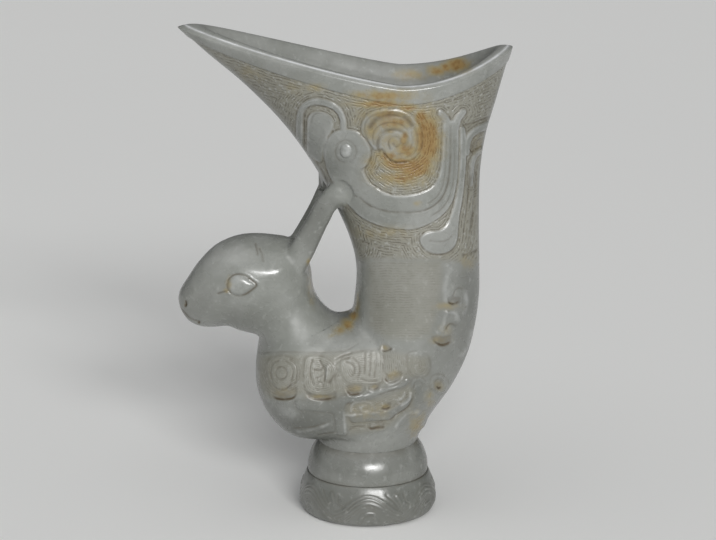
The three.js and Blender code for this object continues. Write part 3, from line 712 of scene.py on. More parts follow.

# Painted shade, laid on as darker patches of the stone, in the same way.
SHADE_PATCHES = [
    (200, 306, 36, 28, 0.5), (245, 318, 46, 22, 0.45), (314, 225, 22, 44, 0.6), (259, 392, 18, 62, 0.72),
    (302, 428, 70, 34, 0.9), (350, 412, 84, 32, 0.66), (370, 470, 90, 30, 0.62), (370, 508, 98, 34, 0.76),
    (470, 300, 22, 80, 0.7), (482, 190, 18, 80, 0.62), (245, 92, 66, 36, 0.65), (290, 135, 28, 50, 0.3),
    (418, 430, 28, 34, 0.45), (490, 110, 18, 36, 0.45), (335, 165, 15, 15, 0.3), (425, 366, 28, 26, 0.45),
    (377, 312, 18, 32, 0.25), (350, 318, 14, 18, 0.6), (430, 470, 24, 30, 0.8), (436, 506, 24, 30, 0.9),
    (312, 462, 16, 30, 0.75), (440, 300, 38, 70, 0.45), (462, 330, 26, 50, 0.6), (445, 350, 34, 34, 0.5),
    (395, 410, 40, 30, 0.6), (410, 395, 30, 40, 0.6),
]

# Places where the polish is dull, in the same way.
DULL = [
    (299, 332, 14, 26, 1.0), (290, 260, 7, 7, 1.0), (316, 350, 14, 5, 1.0), (310, 322, 14, 16, 1.0),
    (310, 376, 13, 20, 0.5), (362, 367, 30, 22, 0.6), (420, 300, 40, 60, 0.4),
]

# The head's own lines.
HEAD_LINES = {
    "crown line": (0.8, 0.16, [(255.5, 243.5), (257, 249), (257.8, 254.5)]),
    "crown line 2": (0.8, 0.16, [(259.5, 248), (262, 254), (263.2, 261)]),
    "tear line": (0.8, 0.25, [(229.5, 291.5), (224, 291.8), (218, 293.5)]),
    "brow": (5.0, -0.12, [(234, 264), (243, 268), (254, 271), (266, 272.5), (278, 271), (290, 265.5)]),
    "mouth": (0.9, 0.2, [(180, 307), (184.5, 312.5), (190, 318), (199, 322)]),
}
HEAD_POCKETS = {
    "nostril": (0.8, [(184, 301), (185.8, 299.8), (187, 302), (186.5, 305.5), (184.8, 306)]),
    "mouth corner": (0.35, [(198, 321), (199.5, 320.3), (200.5, 321.8), (199.3, 323.2), (198, 322.6)]),
}
EYE_EDGE = [
    (227, 285), (229, 279.3), (233.5, 275.5), (239, 274.5), (245, 276.3), (251, 280.3), (256, 285), (250.5, 290.5),
    (244.5, 294.3), (238, 295.6), (232, 293.8), (228.3, 289.8),
]
EYE_MIDDLE = (239, 285)
BOSS_MIDDLE, BOSS_WIDTH, BOSS_HEIGHT = (345.8, 151), 6.4, 7.6


# Distances in squares: how far a raised shape and a cut are felt, and how far the slope at an edge reaches inwards and
# outwards. Reaches and insets below are in squares too, heights are in millimetres, and the rest are shares.
EDGE_REACH, EDGE_MARGIN, EDGE_INNER, EDGE_OUTER = 30.0, 6.0, 1.3, 0.6
BAND_CROWN = 0.35
FOOT_DIRT, FOOT_REACH = 0.4, 1.0
LOW_LINE, LOW_FOOT_DIRT = (385.0, 400.0), 0.6
PALE_EDGE_INSET, PALE_EDGE_REACH = 1.2, 1.0
LINE_DIRT, LINE_DIRT_DEPTH = 0.75, 0.2
RIDGE_MARGIN = 3
POCKET_DIRT, POCKET_TOP, POCKET_LOW = 0.45, 0.25, (0.45, 0.85)
CREASE_INSET, CREASE_REACH, CREASE_DIRT = 0.6, 1.0, 1.8
BURR_INSET, BURR_HEIGHT = 1.8, 0.17
PATCH_FALL = 1.4
CARVED_FACING = (0.08, 0.35)


class Carving:
    """The carving at places of the drawing: how far each place is raised, how far beyond the edge of the raised
    shapes it lies, how much dirt lies in it, and how near it is to the crest of a ridge."""

    def __init__(self, places):
        self.places = places
        self.height, self.dirt_and_shade, self.crests = np.zeros((3, len(places)))
        self.beyond = np.full(len(places), EDGE_REACH)

    def raise_to(self, at, height, beyond):
        """Raises places to a shape's height; beyond is the distance outside the shape's edge."""
        self.height[at] = np.maximum(self.height[at], height * (1 - smooth_step(-EDGE_INNER, EDGE_OUTER, beyond)))
        self.beyond[at] = np.minimum(self.beyond[at], beyond)

    def bands(self, shapes):
        for start, end, height, points in shapes.values():
            line = smooth_line(points)
            at = near(line, self.places, max(start, end) + EDGE_REACH)
            distance, along = distance_to(line, self.places[at])
            half = mix(start, end, along)
            crown = 1 - BAND_CROWN * np.clip(distance / half, 0, 1) ** 2
            self.raise_to(at, height * crown, distance - half)

    def fields(self, shapes):
        for height, points in shapes.values():
            outline = closed_line(points)
            at = near(outline, self.places, EDGE_REACH)
            self.raise_to(at, height, -depth_inside(outline, self.places[at]))

    def settle(self):
        """Dirt gathers at the foot of the raised shapes."""
        self.dirt_and_shade = FOOT_DIRT * fall_off(self.beyond - FOOT_REACH, FOOT_REACH)

    def bare(self):
        """1 on the ground between the raised shapes."""
        return smooth_step(-EDGE_INNER, EDGE_OUTER, self.beyond)

    def wear_and_glint(self):
        """1 along the edges of the raised shapes, which are painted pale, partly for wear and partly as painted glints.
        """
        return fall_off(self.beyond + PALE_EDGE_INSET, PALE_EDGE_REACH)

    def ground_rows(self, points):
        """Distance to the nearest edge of a raised shape or to a line of the drawing."""
        line = smooth_line(points)
        at = near(line, self.places, EDGE_REACH)
        edge = np.abs(self.beyond)
        edge[at] = np.minimum(edge[at], distance_to(line, self.places[at])[0])
        return edge

    def lines(self, shapes, dirt_and_shade=LINE_DIRT):
        for half, depth, points in shapes.values():
            line = smooth_line(points)
            at = near(line, self.places, EDGE_MARGIN)
            groove = fall_off(distance_to(line, self.places[at])[0], half)
            self.height[at] -= depth * groove
            self.dirt_and_shade[at] = np.maximum(self.dirt_and_shade[at], dirt_and_shade * groove * min(1, depth / LINE_DIRT_DEPTH))

    def ridges(self, shapes):
        for half, height, points in shapes.values():
            line = smooth_line(points)
            at = near(line, self.places, half * RIDGE_MARGIN)
            crest = fall_off(distance_to(line, self.places[at])[0], half)
            self.height[at] += height * crest
            self.crests[at] = np.maximum(self.crests[at], crest)
            self.dirt_and_shade[at] *= 1 - crest

    def pockets(self, shapes, dirt_and_shade=POCKET_DIRT):
        """Gouges pockets that are deepest at their lower edge, where the dirt gathers and a burr stands."""
        for depth, points in shapes.values():
            outline = closed_line(points)
            at = near(outline, self.places, EDGE_MARGIN)
            edge = depth_inside(outline, self.places[at])
            sunk = smooth_step(-EDGE_OUTER, EDGE_INNER, edge)
            low = np.clip((self.places[at, 1] - outline[:, 1].min()) / np.ptp(outline[:, 1]), 0, 1)
            crease, burr = (fall_off(edge + off, CREASE_REACH) * smooth_step(*POCKET_LOW, low)
                            for off in (-CREASE_INSET, BURR_INSET))
            self.height[at] += BURR_HEIGHT * burr - depth * sunk * mix(POCKET_TOP, 1, low)
            self.dirt_and_shade[at] = np.maximum(self.dirt_and_shade[at], np.maximum(dirt_and_shade * sunk, CREASE_DIRT * crease))


def patches(shapes, places):
    """Strength of soft oval patches at places of the drawing."""
    strength = np.zeros(len(places))
    for across, down, wide, high, most in shapes:
        far = ((places[:, 0] - across) / wide) ** 2 + ((places[:, 1] - down) / high) ** 2
        strength = np.maximum(strength, most * np.exp(-PATCH_FALL * far))
    return strength


def carve(obj, carving, depth):
    """Moves the skin of obj along its normals by the carving, less where it turns away from the view, and gives back
    how far each point takes part."""
    points, normals = points_of(obj), normals_of(obj)
    square = smooth_step(*CARVED_FACING, facing_view(points, normals)) * painted(obj, "skin")
    move_points(obj, points + normals * (carving.height * square * depth)[:, None])
    paint(obj, "dirt_and_shade", carving.dirt_and_shade * square)
    return square


# ---------------------------------------------------------------------------------------------------------
# Stone block
# ---------------------------------------------------------------------------------------------------------

# Rows and columns of the forms that are lofted, before they are melted into one block.
HORN_ROWS, BEAST_ROWS, BELLY_ROWS, EAR_ROWS = 140, 100, 40, 40
BODY_COLUMNS, EAR_COLUMNS = 128, 32
# Smoothing: share of the way to the neighbours' middle, rounds over the whole block and rounds in its folds.
SMOOTH_SHARE, SMOOTH_ROUNDS, FOLD_ROUNDS = 0.5, 5, 110
# Folds: how far outside the surface the neighbours' middle lies, and the rings of neighbours that a fold spreads to.
FOLD_RANGE, FOLD_SPREAD = (0.04, 0.12), 7
WEIGHT_STEPS = 50
# The floor of the crook between neck and horn, as (x, z), how far round it the stone is rubbed smooth, and how often.
CROOK = (-7.5, 44.5)
CROOK_REACH, CROOK_ROUNDS = (4.5, 8.5), 70
# Stations of an ear's line where it is parted from the head and from its tip, and a short step along such a line.
EAR_ROOT, EAR_TIP, LINE_STEP = 1.35, 2.75, 0.05
# How far an ear reaches round its line and past its ends, and how far from its tip the carving starts and is full.
EAR_REACH, EAR_PAST, EAR_SPOTS = 5.8, 0.3, 30
EAR_CLEAR, EAR_TIP_PAST, EAR_TIP_SPOTS = (3.6, 5.1), 0.4, 40
# The cut at the neck: how far behind it faces are cut, where the crook is parted, and half the window of that cut.
NECK_CUT_PAST, CROOK_SETBACK, CROOK_WINDOW = 4.0, 1.0, (3.0, 10.0)
HEAD_TOP = 78.0


def neighbours(obj):
    pairs = np.empty(len(obj.data.edges) * 2, np.int32)
    obj.data.edges.foreach_get("vertices", pairs)
    return pairs.reshape(-1, 2).T


def folds(obj):
    """Weight 1 where the surface folds inwards, spread over some rings of neighbours and faded out."""
    points, normals = points_of(obj), normals_of(obj)
    a, b = neighbours(obj)
    count = np.bincount(a, minlength=len(points)) + np.bincount(b, minlength=len(points))

    def average(values):
        return (np.bincount(a, values[b], len(points)) + np.bincount(b, values[a], len(points))) / count

    centre = np.stack([average(points[:, axis]) for axis in range(3)], 1)
    weight = smooth_step(*FOLD_RANGE, ((centre - points) * normals).sum(1))
    for _ in range(FOLD_SPREAD):
        wider = weight.copy()
        np.maximum.at(wider, a, weight[b])
        np.maximum.at(wider, b, weight[a])
        weight = wider
    for _ in range(FOLD_SPREAD):
        weight = average(weight)
    return weight


def weigh(obj, name, weights):
    """A vertex group with these weights, in even steps."""
    group = obj.vertex_groups.new(name=name)
    steps = np.rint(weights * WEIGHT_STEPS).astype(int)
    for step in range(1, WEIGHT_STEPS + 1):
        members = np.nonzero(steps == step)[0]
        if len(members):
            group.add(members.tolist(), step / WEIGHT_STEPS, "REPLACE")


def loft(name, point, last, rows, columns=BODY_COLUMNS):
    angles = np.linspace(0, 2 * math.pi, columns + 1)
    station, angle = np.meshgrid(np.linspace(0, last, rows), angles, indexing="ij")
    return close_up(sheet(name, point(station, angle) + (0, 0, SEAT)))


def line_course(line, station):
    """A place on the smooth line through points, and the way that the line runs there."""
    before = np.maximum(station - LINE_STEP, 0)
    after = np.minimum(station + LINE_STEP, len(line) - 1)
    return curve_at(line, station), curve_at(line, after) - curve_at(line, before)


def ear_point(station, angle):
    middle, ahead = line_course(EAR_LINE, station)
    across = unit(np.stack([-ahead[..., 2], 0 * ahead[..., 0], ahead[..., 0]], -1))
    turn = np.stack([np.cos(angle), np.sin(angle)])
    turn = np.sign(turn) * np.abs(turn) ** EAR_SQUARENESS
    wide = curve_at(EAR_HALF_WIDTH, station) * turn[0][..., None]
    thick = curve_at(EAR_HALF_THICKNESS, station) * turn[1][..., None]
    return middle + across * wide + np.array([0, 1, 0]) * thick


def nearest_spot(points, spots):
    """Distance of points from the nearest of some spots."""
    return np.min([np.linalg.norm(points - spot, axis=1) for spot in spots], 0)


def clear_of_ears(points):
    """0 on the tips of the ears that lie on the horn, 1 away from them."""
    line = np.array(EAR_LINE) + (0, 0, SEAT)
    folded = np.stack([points[:, 0], -np.abs(points[:, 1]), points[:, 2]], 1)
    spots = curve_at(line, np.linspace(EAR_TIP - EAR_TIP_PAST, len(line) - 1, EAR_TIP_SPOTS))
    return smooth_step(*EAR_CLEAR, nearest_spot(folded, spots))


def stone_block(grain):
    """The horn, breast, head and ears as one smooth solid."""
    block = [
        loft("block", horn_point, len(HORN.front) - 1, HORN_ROWS),
        loft("beast", partial(rails_point, BEAST), len(BEAST.front) - 1, BEAST_ROWS),
        loft("belly", partial(rails_point, BELLY), len(BELLY.front) - 1, BELLY_ROWS),
        loft("ear", ear_point, len(EAR_LINE) - 1, EAR_ROWS, EAR_COLUMNS),
    ]
    block.append(mirror_copy(block[-1], "other_ear"))
    block = join(block)
    apply_modifier(block, "REMESH", mode="VOXEL", voxel_size=grain * MM)
    apply_modifier(block, "SMOOTH", factor=SMOOTH_SHARE, iterations=SMOOTH_ROUNDS)
    weigh(block, "folds", folds(block))
    apply_modifier(block, "SMOOTH", factor=SMOOTH_SHARE, iterations=FOLD_ROUNDS, vertex_group="folds")
    across, _, up = (points_of(block) - (CROOK[0], 0, CROOK[1] + SEAT)).T
    weigh(block, "crook", 1 - smooth_step(*CROOK_REACH, np.hypot(across, up)))
    apply_modifier(block, "SMOOTH", factor=SMOOTH_SHARE, iterations=CROOK_ROUNDS, vertex_group="crook")
    apply_modifier(block, "SUBSURF", levels=1, render_levels=1)
    block.vertex_groups.clear()
    return block


# The socket: columns, rows, and the first of them that lies below the trimmed rim.
SOCKET_COLUMNS, SOCKET_ROWS, SOCKET_MOUTH = 160, 60, 6
# The lining: columns, rows of the well, points in each span of the lip, and every which row its back repeats.
LINING_COLUMNS, WELL_ROWS, LIP_SPAN, LINING_BACK = 360, 90, 3, 3
# The well's floor: its depth, and shares of the way to its middle.
FLOOR_DEPTH, FLOOR_SHARES = 3, (0.1, 0.25, 0.45, 0.7, 1)
# Lip from the band over to the well: share of the way across and of the way down, and height above that.
LIP_PROFILE = [
    (0, 0, 0), (0.06, 0, 0.36), (0.15, 0, 0.7), (0.3, 0, 1.02), (0.48, 0.03, 1.15), (0.65, 0.12, 1.0),
    (0.8, 0.3, 0.68), (0.91, 0.58, 0.3), (0.97, 0.8, 0.1), (1, 1, 0),
]
LIP_STATIONS, LIP_RISE_SPOUT, LIP_RISE_BACK = 0.7, 0.9, 0.35
# Rim band from its hidden foot to the lip: share of the band's width below the rim, and how far it stands proud.
BAND_PROFILE = [
    (1.0, -2.5), (1.0, -0.3), (0.985, 0.7), (0.95, 0.95), (0.85, 1), (0.7, 1), (0.55, 1), (0.4, 1), (0.25, 1),
    (0.12, 0.95), (0.04, 0.8), (0, 0.3),
]
RIM_CUT = 2.5


def widened(ring, by):
    """A ring of points, moved outwards on the level."""
    return ring + unit((ring - ring.mean(0)) * (1, 1, 0)) * by


def socket_rows():
    """Rows of the socket that takes the lining, from its mouth under the rim band to the middle of its floor."""
    angle = np.linspace(0, 2 * math.pi, SOCKET_COLUMNS + 1)
    grow = LINING_THICKNESS + LINING_CLEARANCE
    rows = [widened(horn_point(np.full_like(angle, station), angle, 1), grow)
            for station in np.linspace(RIM_STATION, WELL_FLOOR_STATION, SOCKET_ROWS)]
    floor = rows[-1].mean(0) - (0, 0, grow)
    rows += [mix(rows[-1] - (0, 0, grow), floor, share) for share in (0, 0.5, 1)]
    return np.array(rows)


def by_end(angle, spout, back):
    """One value ahead of the middle of the horn and another one behind it."""
    return np.where(np.cos(angle) >= 0, spout, back)


def band_share(angle):
    """How many stations the rim band covers, round the rim."""
    return mix(BAND_STATIONS_SIDE, by_end(angle, BAND_STATIONS_SPOUT, BAND_STATIONS_BACK), np.cos(angle) ** 2)


def horn_normal(station, angle):
    """Outward normal of the horn's wall."""
    step = 1e-3
    up = horn_point(station + step, angle) - horn_point(station - step, angle)
    round_ = horn_point(station, angle + step) - horn_point(station, angle - step)
    return unit(np.cross(round_, up))


def lining_rows(band_height):
    """Rows of the rim and the well's lining: up the band, over the lip, down to the floor and back behind."""
    # The wall has no one normal right at its front and back edges, so the columns stand just off them.
    off_the_edge = 1e-6
    angle = np.linspace(0, 2 * math.pi, LINING_COLUMNS + 1) + off_the_edge
    rows = []
    for share, proud in BAND_PROFILE:
        station = RIM_STATION - share * band_share(angle)
        rows.append(horn_point(station, angle) + horn_normal(station, angle) * proud * band_height)
    top = rows[-1]
    ends = mix(1, by_end(angle, LIP_RISE_SPOUT, LIP_RISE_BACK), np.cos(angle) ** 2)
    well = [horn_point(np.full_like(angle, station), angle, 1)
            for station in np.linspace(RIM_STATION - LIP_STATIONS, WELL_FLOOR_STATION, WELL_ROWS)]
    for share, fall, rise in smooth_line(LIP_PROFILE, LIP_SPAN)[1:]:
        lip = mix(top, well[0], share)
        lip[:, 2] = mix(top[:, 2], well[0][:, 2], fall) + rise * ends
        rows.append(lip)
    rows += well[1:]
    floor = well[-1].mean(0)
    rows += [mix(well[-1], floor, share) - (0, 0, FLOOR_DEPTH * math.sin(share * math.pi / 2))
             for share in FLOOR_SHARES]
    rows.append(np.repeat([floor - (0, 0, FLOOR_DEPTH + LINING_THICKNESS)], LINING_COLUMNS + 1, 0))
    rows += [widened(ring, LINING_THICKNESS) for ring in well[::LINING_BACK]][::-1] + [rows[0]]
    return np.array(rows) + (0, 0, SEAT)


def cut_rim(block):
    """Trims the block just below the rim, where the rim band covers the edge, and lets in the lining's socket."""
    points = points_of(block)
    move_points(block, points - rim_height(points[:, 0])[:, None] * (0, 0, 1))
    cut(block, (0, 0, SEAT - RIM_CUT), (0, 0, 1), clear_outer=True)
    points = points_of(block)
    move_points(block, points + rim_height(points[:, 0])[:, None] * (0, 0, 1))
    rows = socket_rows()
    mouth = rows[0].copy()
    mouth[:, 2] = rim_height(mouth[:, 0]) - RIM_CUT
    paint(block, "skin", np.ones(len(block.data.vertices)))
    block = join([block, sheet("socket", np.vstack([mouth[None], rows[SOCKET_MOUTH:]]) + (0, 0, SEAT))])
    bridge_ends(block)
    return block


def take_off_ear(block, name, flip):
    """Parts an ear from the head and from its tip, which stays on the horn."""
    line = np.array(EAR_LINE) * (1, flip, 1) + (0, 0, SEAT)
    (root, out), (tip, on) = planes = [line_course(line, station) for station in (EAR_ROOT, EAR_TIP)]
    for middle, ahead in planes:
        cut(block, middle, ahead, np.linalg.norm(face_centres(block) - middle, axis=1) < EAR_REACH)
    centres = face_centres(block)
    between = ((centres - root) @ out > 0) & ((centres - tip) @ on < 0)
    spots = curve_at(line, np.linspace(EAR_ROOT - EAR_PAST, EAR_TIP + EAR_PAST, EAR_SPOTS))
    return take_off(block, name, between & (nearest_spot(centres, spots) < EAR_REACH))


def take_off_head(block):
    """Parts the head from the breast at the neck, and from the horn in the crook behind it."""
    front, back = np.array(NECK_FRONT), np.array(NECK_BACK)
    along = unit(back - front)
    normal = np.array([-along[1], 0, along[0]])
    seat = np.array([front[0], 0, front[1] + SEAT])
    crook = back[0] - CROOK_SETBACK
    cut(block, seat, normal, face_centres(block)[:, 0] < back[0] + NECK_CUT_PAST)
    away = np.abs(face_centres(block)[:, [0, 2]] - (crook, SEAT + back[1]))
    cut(block, (crook, 0, 0), (1, 0, 0), (away < CROOK_WINDOW).all(1))
    centres = face_centres(block)
    above = (centres - seat) @ normal > 0
    return take_off(block, "head_carved", above & (centres[:, 0] < crook) & (centres[:, 2] < SEAT + HEAD_TOP))


# ---------------------------------------------------------------------------------------------------------
# Finishes of the stone
# ---------------------------------------------------------------------------------------------------------

# Speckles in the stone: size of their lumps in millimetres, detail and roughness of the noise that they are made of,
# the range of the noise that is used, and the values that it is spread to.
Speckle = namedtuple("Speckle", "size detail roughness low high least most", defaults=(0.0, 1.0))
STONE_CLOUDS = Speckle(22, 4.0, 0.55, 0.36, 0.66)
MOTTLE = Speckle(3.5, 4.0, 0.6, 0.42, 0.64, 0.0, 0.12)
FLECKS = Speckle(1.7, 2.0, 0.5, 0.56, 0.78, 0.0, 0.36)
POLISH = Speckle(6, 3.0, 0.5, 0.3, 0.7, -0.05, 0.06)
PATCHY_DIRT_AND_SHADE = Speckle(5, 3.0, 0.5, 0.35, 0.6, 0.3, 1.0)
RUST_MARKS = Speckle(2, 3.0, 0.5, 0.38, 0.68, 0.0, 0.8)
WORN_CUTS = Speckle(7, 2.0, 0.5, 0.42, 0.58, 0.4, 1.0)
CUT_BREAKS = Speckle(1.5, 1.0, 0.5, 0.4, 0.56, 0.1, 1.0)
# The glint speckle is painted glints on the cut ground, not a speckle of the stone.
GLINTS = Speckle(1.1, 2.0, 0.5, 0.56, 0.7, 0.0, 0.4)
WORN_EDGES_AND_GLINTS = Speckle(4, 3.0, 0.5, 0.35, 0.65, 0.08, 0.45)
# The lip speckle breaks up the painted highlight along the lip.
LIP_HIGHLIGHT_SPECKLE = Speckle(5, 3.0, 0.5, 0.3, 0.6, 0.6, 1.0)
# Cut lines of the ground: squares from one to the next, how far they wander and in what lumps, and their slopes.
CUT_PITCH, CUT_WANDER, CUT_LUMPS, CUT_SLOPE = 2.6, 1.3, (3, 2.0), (0.04, 0.34)
# Strength of the ground from which its cuts are unbroken, and from which it is painted with glints.
SHARP_GROUND, GLINT_GROUND = (0.8, 1.0), (0.5, 1.0)
GROUND_TINT, CUT_TINT, DIRT_AND_SHADE_TINT = 0.6, 0.44, 0.8
DULL_GLOSS, GROUND_GLOSS, DIRT_GLOSS = 0.3, 0.1, 0.2
FLECK_HEIGHT, RELIEF = 0.35, 0.12
# Stain: its lumps, and the ranges over which it spreads, thickens, is marked with rust, and covers the stone.
STAIN_LUMPS = (3.5, 5.0, 0.65)
STAIN_SPREAD, STAIN_THICK, STAIN_MARKED, STAIN_COVER = (0.5, 1.35), (0.5, 0.95), (0.3, 0.85), (0.0, 0.6, 0.0, 0.95)
JADE_SKIN = {"IOR": 1.61, "Subsurface Weight": 0.12, "Subsurface Radius": (1.0, 0.95, 0.8),
             "Subsurface Scale": 0.6 * MM}
# The finishes: shade of the stone, roughness of the polish, and whether the ground is cut with fine lines.
FINISHES = {"carved_jade": (1.0, 0.27, True), "polished_jade": (1.0, 0.25, False), "dusky_jade": (0.85, 0.3, False)}


class Shader:
    """A material's nodes, added and linked with short calls."""

    def __init__(self, name):
        self.material = bpy.data.materials.new(name)
        self.material.use_nodes = True
        self.tree = self.material.node_tree
        self.tree.nodes.clear()

    def add(self, kind, inputs=None, **settings):
        node = self.tree.nodes.new(kind)
        for key, value in settings.items():
            setattr(node, key, value)
        for key, value in (inputs or {}).items():
            if isinstance(value, bpy.types.NodeSocket):
                self.tree.links.new(value, node.inputs[key])
            else:
                node.inputs[key].default_value = value
        return node

    def noise(self, size, detail=3.0, roughness=0.5):
        """Noise in the object's own space, whose lumps are about size millimetres."""
        place = self.add("ShaderNodeTexCoord").outputs["Object"]
        return self.add("ShaderNodeTexNoise", {"Vector": place, "Scale": 1 / (size * MM), "Detail": detail,
                                               "Roughness": roughness}).outputs["Fac"]

    def ramp(self, value, low, high, least=0.0, most=1.0):
        return self.add("ShaderNodeMapRange", {"Value": value, "From Min": low, "From Max": high, "To Min": least,
                                               "To Max": most}, interpolation_type="SMOOTHSTEP").outputs["Result"]

    def speckle(self, kind):
        return self.ramp(self.noise(*kind[:3]), *kind[3:])

    def math(self, operation, *values):
        return self.add("ShaderNodeMath", dict(enumerate(values)), operation=operation).outputs[0]

    def times(self, a, b):
        return self.math("MULTIPLY", a, b)

    def blend(self, share, a, b):
        def colour(value):
            return value if isinstance(value, bpy.types.NodeSocket) else (*value, 1.0)
        return self.add("ShaderNodeMix", {0: share, 6: colour(a), 7: colour(b)}, data_type="RGBA").outputs[2]

    def layer(self, name):
        return self.add("ShaderNodeAttribute", attribute_name=name).outputs["Fac"]

    def finish(self, colour, roughness, height, relief, **skin):
        bump = self.add("ShaderNodeBump", {"Height": height, "Strength": 1.0, "Distance": relief * MM})
        shader = self.add("ShaderNodeBsdfPrincipled", {"Base Color": colour, "Roughness": roughness,
                                                       "Normal": bump.outputs["Normal"], **skin})
        self.tree.links.new(shader.outputs[0], self.add("ShaderNodeOutputMaterial").inputs["Surface"])
        return self.material


def hatch(shader):
    """Fine broken cut lines of the ground: 1 in the cut."""
    wander = shader.times(shader.noise(*CUT_LUMPS), CUT_WANDER)
    at = shader.math("MULTIPLY_ADD", shader.layer("edge"), 1 / CUT_PITCH, wander)
    line = shader.ramp(shader.math("PINGPONG", at, 0.5), *CUT_SLOPE, 1.0, 0.0)
    return shader.times(line, shader.speckle(CUT_BREAKS))


def jade(slot, colours):
    """Waxy jade with clouds, flecks, worn edges and painted glints, earth stain, dirt, painted shade and a painted lip
    highlight; carved jade also has a ground of cut lines.
    """
    shade, roughness, carved = FINISHES[slot]
    shader = Shader(f"{slot}_finish")
    flecks = shader.noise(*FLECKS[:3])
    colour = shader.blend(shader.speckle(STONE_CLOUDS), np.array(colours.light) * shade, np.array(colours.dark) * shade)
    # Painted shade: the stone is darkened where the shade patches are painted.
    colour = shader.blend(shader.layer("cloud_and_shade"), colour, colours.cloud_and_shade)
    colour = shader.blend(shader.speckle(MOTTLE), colour, colours.cloud_and_shade)
    colour = shader.blend(shader.ramp(flecks, *FLECKS[3:]), colour, colours.fleck)
    gloss = shader.math("ADD", roughness, shader.speckle(POLISH))
    gloss = shader.math("MULTIPLY_ADD", shader.layer("dull"), DULL_GLOSS, gloss)
    height = shader.times(flecks, FLECK_HEIGHT)
    dirt_and_shade = shader.times(shader.layer("dirt_and_shade"), shader.speckle(PATCHY_DIRT_AND_SHADE))
    marks = shader.speckle(RUST_MARKS)
    if carved:
        ground = shader.layer("ground")
        unbroken = shader.math("MAXIMUM", shader.speckle(WORN_CUTS), shader.ramp(ground, *SHARP_GROUND))
        cuts = shader.times(shader.times(hatch(shader), unbroken), ground)
        colour = shader.blend(shader.times(ground, GROUND_TINT), colour, colours.ground)
        colour = shader.blend(shader.times(cuts, CUT_TINT), colour, colours.dirt_and_shade)
        # Painted glints: pale specks on the cut ground.
        glints = shader.times(shader.speckle(GLINTS), shader.ramp(ground, *GLINT_GROUND))
        colour = shader.blend(glints, colour, colours.wear_and_glint)
        marks = shader.math("MAXIMUM", cuts, marks)
        height = shader.math("SUBTRACT", height, shader.times(cuts, shader.times(ground, ground)))
        gloss = shader.math("MULTIPLY_ADD", ground, GROUND_GLOSS, gloss)
    # Edges worn pale and painted glints on the ridge crests; the eyes and bosses are painted paler too.
    colour = shader.blend(shader.times(shader.layer("wear_and_glint"), shader.speckle(WORN_EDGES_AND_GLINTS)), colour, colours.wear_and_glint)
    # Painted highlight along the crest of the lip.
    colour = shader.blend(shader.times(shader.layer("lip"), shader.speckle(LIP_HIGHLIGHT_SPECKLE)), colour, colours.lip)
    stain = shader.layer("stain")
    patch = shader.ramp(shader.math("ADD", shader.noise(*STAIN_LUMPS), stain), *STAIN_SPREAD)
    earth = shader.blend(shader.ramp(stain, *STAIN_THICK), colours.thin_stain, colours.stain)
    earth = shader.blend(shader.times(marks, shader.ramp(stain, *STAIN_MARKED)), earth, colours.rust)
    colour = shader.blend(shader.math("MINIMUM", patch, shader.ramp(stain, *STAIN_COVER)), colour, earth)
    # Dirt in the cuts, pockets and joints, and painted shade on the collar under the horn.
    colour = shader.blend(shader.times(dirt_and_shade, DIRT_AND_SHADE_TINT), colour, colours.dirt_and_shade)
    gloss = shader.math("MULTIPLY_ADD", dirt_and_shade, DIRT_GLOSS, gloss)
    return shader.finish(colour, gloss, height, RELIEF, **JADE_SKIN)


# ---------------------------------------------------------------------------------------------------------
# What a user may change
# ---------------------------------------------------------------------------------------------------------

def colour_property(name, description, default):
    return FloatVectorProperty(name=name, description=description, default=default, subtype="COLOR", min=0, max=1)


def size_property(name, description, default, least, most, **kind):
    return FloatProperty(name=name, description=description, default=default, min=least, max=most, **kind)


class CupSizes(bpy.types.PropertyGroup):
    grain: size_property("Grain", "Size of the cells that the stone block is sculpted in, in millimetres", 0.72, 0.5, 2)
    carving: size_property("Carving depth", "Depth of the carving, as a share of the drawn depth", 1.0, 0, 2,
                           subtype="FACTOR")
    band: size_property("Rim band height", "How far the rim band stands proud of the horn, in millimetres", 0.3, 0, 1)
    eye_rise: size_property("Eye rise", "How far the eyes stand out of the head, in millimetres", 1.0, 0, 2)
    boss_rise: size_property("Boss rise", "How far the bosses stand out of the horn, in millimetres", 0.85, 0, 3)


class CupColours(bpy.types.PropertyGroup):
    light: colour_property("Jade", "Palest tone of the polished stone", (0.3, 0.306, 0.288))
    dark: colour_property("Clouds", "Darker clouds in the stone", (0.228, 0.236, 0.216))
    # Dark stone tone, used for the random mottle and for the painted shade.
    cloud_and_shade: colour_property("Dark clouds", "Darkest clouds in the stone", (0.1, 0.103, 0.09))
    fleck: colour_property("Flecks", "Pale flecks in the stone", (0.38, 0.39, 0.37))
    # Pale tone for worn edges and for painted glints.
    wear_and_glint: colour_property("Worn edges", "Edges of the carving that are worn pale", (0.46, 0.47, 0.46))
    # Painted highlight along the crest of the lip.
    lip: colour_property("Lip", "Crest of the lip, polished pale by use", (0.72, 0.73, 0.74))
    ground: colour_property("Ground", "Ground of the carving", (0.235, 0.222, 0.17))
    # Dark tone for the dirt in cuts and pockets, and for the painted shade on the collar under the horn.
    dirt_and_shade: colour_property("Dirt", "Old dirt in the cuts", (0.07, 0.053, 0.028))
    stain: colour_property("Stain", "Earth stain", (0.28, 0.178, 0.055))
    thin_stain: colour_property("Thin stain", "Earth stain where it is thin", (0.29, 0.235, 0.11))
    rust: colour_property("Deep stain", "Earth stain where it is deepest", (0.2, 0.105, 0.02))
    floor: colour_property("Floor", "Studio floor", (0.9, 0.9, 0.885))


# ---------------------------------------------------------------------------------------------------------
# The steps
# ---------------------------------------------------------------------------------------------------------

